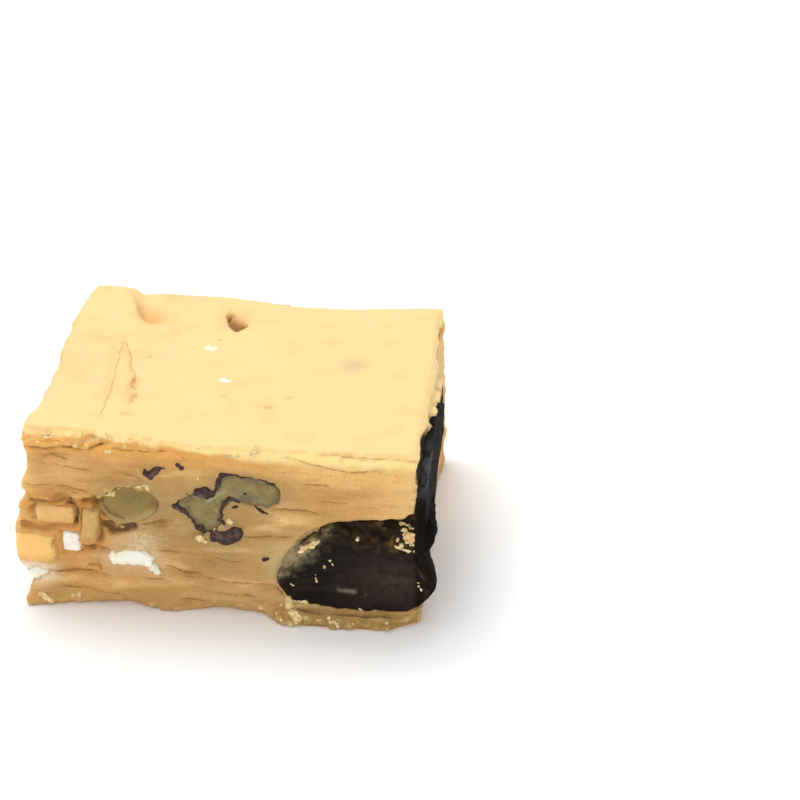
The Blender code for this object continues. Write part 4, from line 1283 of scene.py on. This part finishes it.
# %% Place the flakes of the front
CRUST = (  # lumps of the crumbly ledge under the rim at the left: x, height and radius
    (-25.2, 24.7, 0.42), (-24.1, 25.0, 0.30), (-23.0, 24.5, 0.36), (-22.2, 25.1, 0.28),
    (-20.4, 24.8, 0.34), (-19.3, 25.0, 0.30), (-17.9, 24.7, 0.38), (-16.6, 25.0, 0.30),
    (-15.2, 25.2, 0.34), (-13.8, 24.9, 0.28), (-11.6, 25.0, 0.30), (-8.9, 24.9, 0.26),
)
scraps("crust", [(lump,) for lump in CRUST], CRUMB_LOOK, "fudge", sunk=0.08, loose=0.35)
FLAKES = (
    ((-15.1, 16.9, 0.27), (-14.0, 17.6, 0.32)), ((-13.4, 18.2, 0.24), (-12.9, 18.7, 0.21)),
    ((-12.2, 18.4, 0.13), (-10.8, 19.0, 0.22), (-9.7, 19.3, 0.34), (-9.2, 18.9, 0.32)),
    ((-3.1, 12.3, 0.32), (-2.7, 11.6, 0.4), (-2.2, 11.1, 0.24)),
    ((-1.2, 13.2, 0.11), (0.0, 13.6, 0.19), (1.0, 14.1, 0.32), (1.2, 14.3, 0.24)),
    ((0.9, 24.2, 0.24), (2.9, 24.4, 0.27)), ((-0.4, 24.3, 0.22),), ((4.2, 21.9, 0.29), (4.5, 22.1, 0.24)),
    ((3.8, 23.6, 0.22),), ((-14.0, 24.2, 0.27), (-13.3, 24.1, 0.22)), ((7.8, 22.2, 0.16), (9.2, 22.5, 0.19)),
    ((-24.9, 1.4, 0.4), (-23.6, 0.9, 0.48)), ((-20.5, 1.2, 0.32), (-19.6, 1.3, 0.36)),
    ((4.0, 24.9, 0.55), (5.0, 25.1, 0.42)), ((-21.8, 25.4, 0.32), (-20.9, 25.7, 0.29)),
    ((-18.2, 24.4, 0.24), (-17.8, 24.6, 0.21)), ((-16.7, 24.0, 0.16),), ((6.2, 6.9, 0.18),),
    ((7.9, 2.6, 0.48), (9.0, 1.6, 0.72), (9.9, 1.3, 0.48)), ((8.9, 2.9, 0.24), (10.9, 2.5, 0.27)),
    ((13.4, 1.2, 0.4), (15.0, 1.0, 0.32)),
    ((9.8, 10.7, 0.24), (11.0, 11.3, 0.34), (12.4, 11.8, 0.24)),
    ((22.8, 14.7, 0.26), (23.7, 14.3, 0.48), (24.4, 13.3, 0.38)),
    ((22.0, 12.6, 0.20), (23.0, 12.0, 0.28), (24.3, 11.8, 0.24)),
)
scraps("flake", FLAKES, FLAKE_LOOK, "fudge", flat=0.5, loose=0.5)
print(len(CRUST), "lumps of crust and", len(FLAKES), "flakes")

# %% Place the specks
SPECKS = (
    ((11.6, 7.2, 0.2), (12.0, 6.2, 0.3)), ((14.0, 8.9, 0.24), (14.4, 8.8, 0.2)),
    ((24.3, 8.7, 0.22),), ((8.4, 5.6, 0.2), (9.2, 5.0, 0.24)), ((25.0, 7.0, 0.2), (25.4, 5.6, 0.3)),
)
TOP_SPECKS = (((-6.6, 4.9, 0.5), (-5.6, 4.9, 0.7)), ((-2.9, -3.4, 0.45), (-2.0, -3.5, 0.6)))
scraps("speck", SPECKS, FLAKE_LOOK, "fudge", sunk=0.1)
scraps("top_speck", TOP_SPECKS, SPECK_LOOK, "fudge", TOP_FACE, sunk=0.1, flat=0.4)

# %% [markdown]
# ## The walls that the photograph does not show
# They were cut by the same knife from the same slab, so they get the same kinds of scraps, placed
# at random from a fixed seed.

# %% Scraps on the other walls
for side, face, low, high in (
    ("back", BACK_FACE, -23.0, 23.0), ("left", LEFT_FACE, -15.0, 19.0), ("right", RIGHT_FACE, 9.0, 19.0),
):
    for number in range(int((high - low) / 5.0)):
        at, up = drawn.uniform(low, high), drawn.uniform(2.0, 23.0)
        size, lean = drawn.uniform(0.18, 0.5), drawn.uniform(-1.0, 1.0)
        path = ((at, up, size), (at + 0.8, up + 0.6 * lean, size * 0.7))
        scrap(f"skin_scrap_{side}_{number}", path, SKIN_LOOK, "walnut_skin", face)
        at, up = drawn.uniform(low, high), drawn.choice((0.9, 24.4, drawn.uniform(2.0, 23.0)))
        path = ((at, up, 0.8 * size), (at + 1.0, up + 0.3 * lean, size * 0.6))
        scrap(f"flake_{side}_{number}", path, FLAKE_LOOK, "fudge", face)

# %% The tail of the marshmallow crescent
TAIL = ((-9.4, 6.6, 0.75), (-8.9, 5.8, 0.55))
tail = scrap("marshmallow_tail", TAIL, SOFT_LOOKS["marshmallow"], "marshmallow", flat=0.4)
set_paint(tail, plain(tail.data.vertices, CREAMY))
print(len(bpy.data.meshes), "meshes so far")

# %% [markdown]
# ## Crumbs
# The knife leaves crumbs along the rim, at the torn edge and on the chocolate. They are scattered
# by Geometry Nodes: points fall on the faces as thickly as a mask says, each gets a small ball
# with its own turn and proportions, and the result is made real, because instances are lost when
# the model is exported.

# %% Geometry nodes for crumbs
def crumb_tree():
    tree = bpy.data.node_groups.new("crumbs", "GeometryNodeTree")
    sockets = tree.interface
    sockets.new_socket("Geometry", in_out="OUTPUT", socket_type="NodeSocketGeometry")
    sockets.new_socket("Geometry", in_out="INPUT", socket_type="NodeSocketGeometry")
    named = {"Geometry": sockets.items_tree["Geometry"].identifier}
    for name, kind in (
        ("Density", "NodeSocketFloat"), ("Smallest", "NodeSocketFloat"),
        ("Largest", "NodeSocketFloat"), ("Seed", "NodeSocketInt"), ("Finish", "NodeSocketMaterial"),
    ):
        named[name] = sockets.new_socket(name, in_out="INPUT", socket_type=kind).identifier
    given = tree.nodes.new("NodeGroupInput").outputs

    def add(kind, values, wires, **settings):
        made = tree.nodes.new(kind)
        for name, setting in settings.items():
            setattr(made, name, setting)
        for name, value in values.items():
            made.inputs[name].default_value = value
        for name, socket in wires.items():
            tree.links.new(socket, made.inputs[name])
        return made.outputs

    full_turn = (6.28, 6.28, 6.28)
    sizes = {"Min": given["Smallest"], "Max": given["Largest"], "Seed": given["Seed"]}
    vector = {"data_type": "FLOAT_VECTOR"}
    mask = add("GeometryNodeInputNamedAttribute", {"Name": "crumby"}, {}, data_type="FLOAT")
    pair = {0: mask["Attribute"], 1: given["Density"]}
    density = add("ShaderNodeMath", {}, pair, operation="MULTIPLY")
    fall = add(
        "GeometryNodeDistributePointsOnFaces", {},
        {"Mesh": given["Geometry"], "Density": density[0], "Seed": given["Seed"]},
    )
    ball = add("GeometryNodeMeshIcoSphere", {"Radius": 1.0, "Subdivisions": 2}, {})
    turn = add("FunctionNodeRandomValue", {"Max": full_turn}, {"Seed": given["Seed"]}, **vector)
    size = add("FunctionNodeRandomValue", {}, sizes, **vector)
    own = {"Instance": ball["Mesh"], "Rotation": turn["Value"], "Scale": size["Value"]}
    place = add("GeometryNodeInstanceOnPoints", {}, {"Points": fall["Points"], **own})
    real = add("GeometryNodeRealizeInstances", {}, {"Geometry": place["Instances"]})
    finish = {"Geometry": real["Geometry"], "Material": given["Finish"]}
    dress = add("GeometryNodeSetMaterial", {}, finish)
    add("NodeGroupOutput", {}, {"Geometry": dress["Geometry"]})
    return tree, named


# %% Scatter the crumbs
CRUMB_TREE, CRUMB_INPUTS = crumb_tree()


def crumbs(name, host, look, per_mm2, smallest, largest, seed):
    """Crumbs on a copy of the host, as a plain mesh of their own."""
    obj = new_object(name, host.data.copy())
    step = obj.modifiers.new("crumbs", "NODES")
    step.node_group = CRUMB_TREE
    for socket, value in (
        ("Density", per_mm2 / MM**2), ("Smallest", smallest * MM), ("Largest", largest * MM),
        ("Seed", seed), ("Finish", look),
    ):
        step[CRUMB_INPUTS[socket]] = value
    evaluated(obj)
    here = points_of(obj)
    uneven = 0.13 * grain(here, 0.22, 2.0) + 0.3 * largest * grain(here, 0.45, 4.0)
    set_points(obj, here + normals_of(obj) * uneven[:, None])
    print(name, len(obj.data.polygons), "faces")
    return finished(obj, look, "fudge")


crumbs("edge_crumbs", fudge, CRUMB_LOOK, 1.3, 0.10, 0.32, 3)
crumbs("chunk_crumbs", chunk, FLAKE_LOOK, 7.0, 0.10, 0.42, 5)

# %% [markdown]
# ## Floor and light
# A plain pale floor, a large soft light above and a gentle one from the front, and a bright world
# that fills the shadows, as in a light tent. The Standard view keeps the colours as painted.

# %% Floor and lights
floor_mesh = bpy.data.meshes.new("floor")
floor_mesh.from_pydata([(-2, -2, 0), (2, -2, 0), (2, 2, 0), (-2, 2, 0)], [], [(0, 1, 2, 3)])
floor = new_object("floor", floor_mesh)
paper = Look("floor_paper", {"Base Color": (0.93, 0.93, 0.93, 1.0), "Roughness": 0.9})
floor_mesh.materials.append(paper.material)


def area_light(name, place, target, size, power, colour=(1.0, 1.0, 1.0)):
    lamp = bpy.data.lights.new(name, "AREA")
    lamp.size = size
    lamp.energy = power
    lamp.color = colour
    obj = bpy.data.objects.new(name, lamp)
    obj.location = place
    aim = Vector(target) - Vector(place)
    obj.rotation_euler = aim.to_track_quat("-Z", "Y").to_euler()
    picture.objects.link(obj)
    return obj


area_light("top_light", (-0.12, 0.14, 0.55), (0.0, 0.0, 0.01), 0.4, 2.3)
area_light("front_light", (0.0, -0.6, 0.35), (0.0, 0.0, 0.01), 0.5, 0.9)

world = bpy.data.worlds.new("studio")
world.use_nodes = True
world.node_tree.nodes["Background"].inputs["Color"].default_value = (1.0, 1.0, 1.0, 1.0)
world.node_tree.nodes["Background"].inputs["Strength"].default_value = 0.66
bpy.context.scene.world = world
bpy.context.scene.view_settings.view_transform = "Standard"

# %% [markdown]
# ## The camera
# The camera stands where the photographer stood: a little to the right, looking down by thirty
# degrees through a long lens. It is built from three directions, and placed by steps along them,
# which puts the square where it lies in the photograph's frame.

# %% Camera
AZIMUTH = math.radians(5.963)
ELEVATION = math.radians(30.01)
AWAY, ASIDE, ABOVE = 246.16, 20.36, 17.5  # steps from the origin, in mm
BLOCK_SHIFT = Vector((0.0, 0.8 * MM, 0.0))  # how far the solids were moved to be centred
level = math.cos(ELEVATION)
back = Vector((math.sin(AZIMUTH) * level, -math.cos(AZIMUTH) * level, math.sin(ELEVATION)))
right = Vector((math.cos(AZIMUTH), math.sin(AZIMUTH), 0.0))
above = back.cross(right)
lens = bpy.data.cameras.new("camera")
lens.lens = 78.53
lens.sensor_width = 36.0
lens.clip_start = 0.01
camera = bpy.data.objects.new("camera", lens)
turn = Matrix((right, above, back)).transposed().to_4x4()
turn.translation = (back * AWAY + right * ASIDE + above * ABOVE) * MM + BLOCK_SHIFT
camera.matrix_world = turn
picture.objects.link(camera)
bpy.context.scene.camera = camera
print("camera at", [round(c * 1000) for c in camera.matrix_world.translation], "mm")
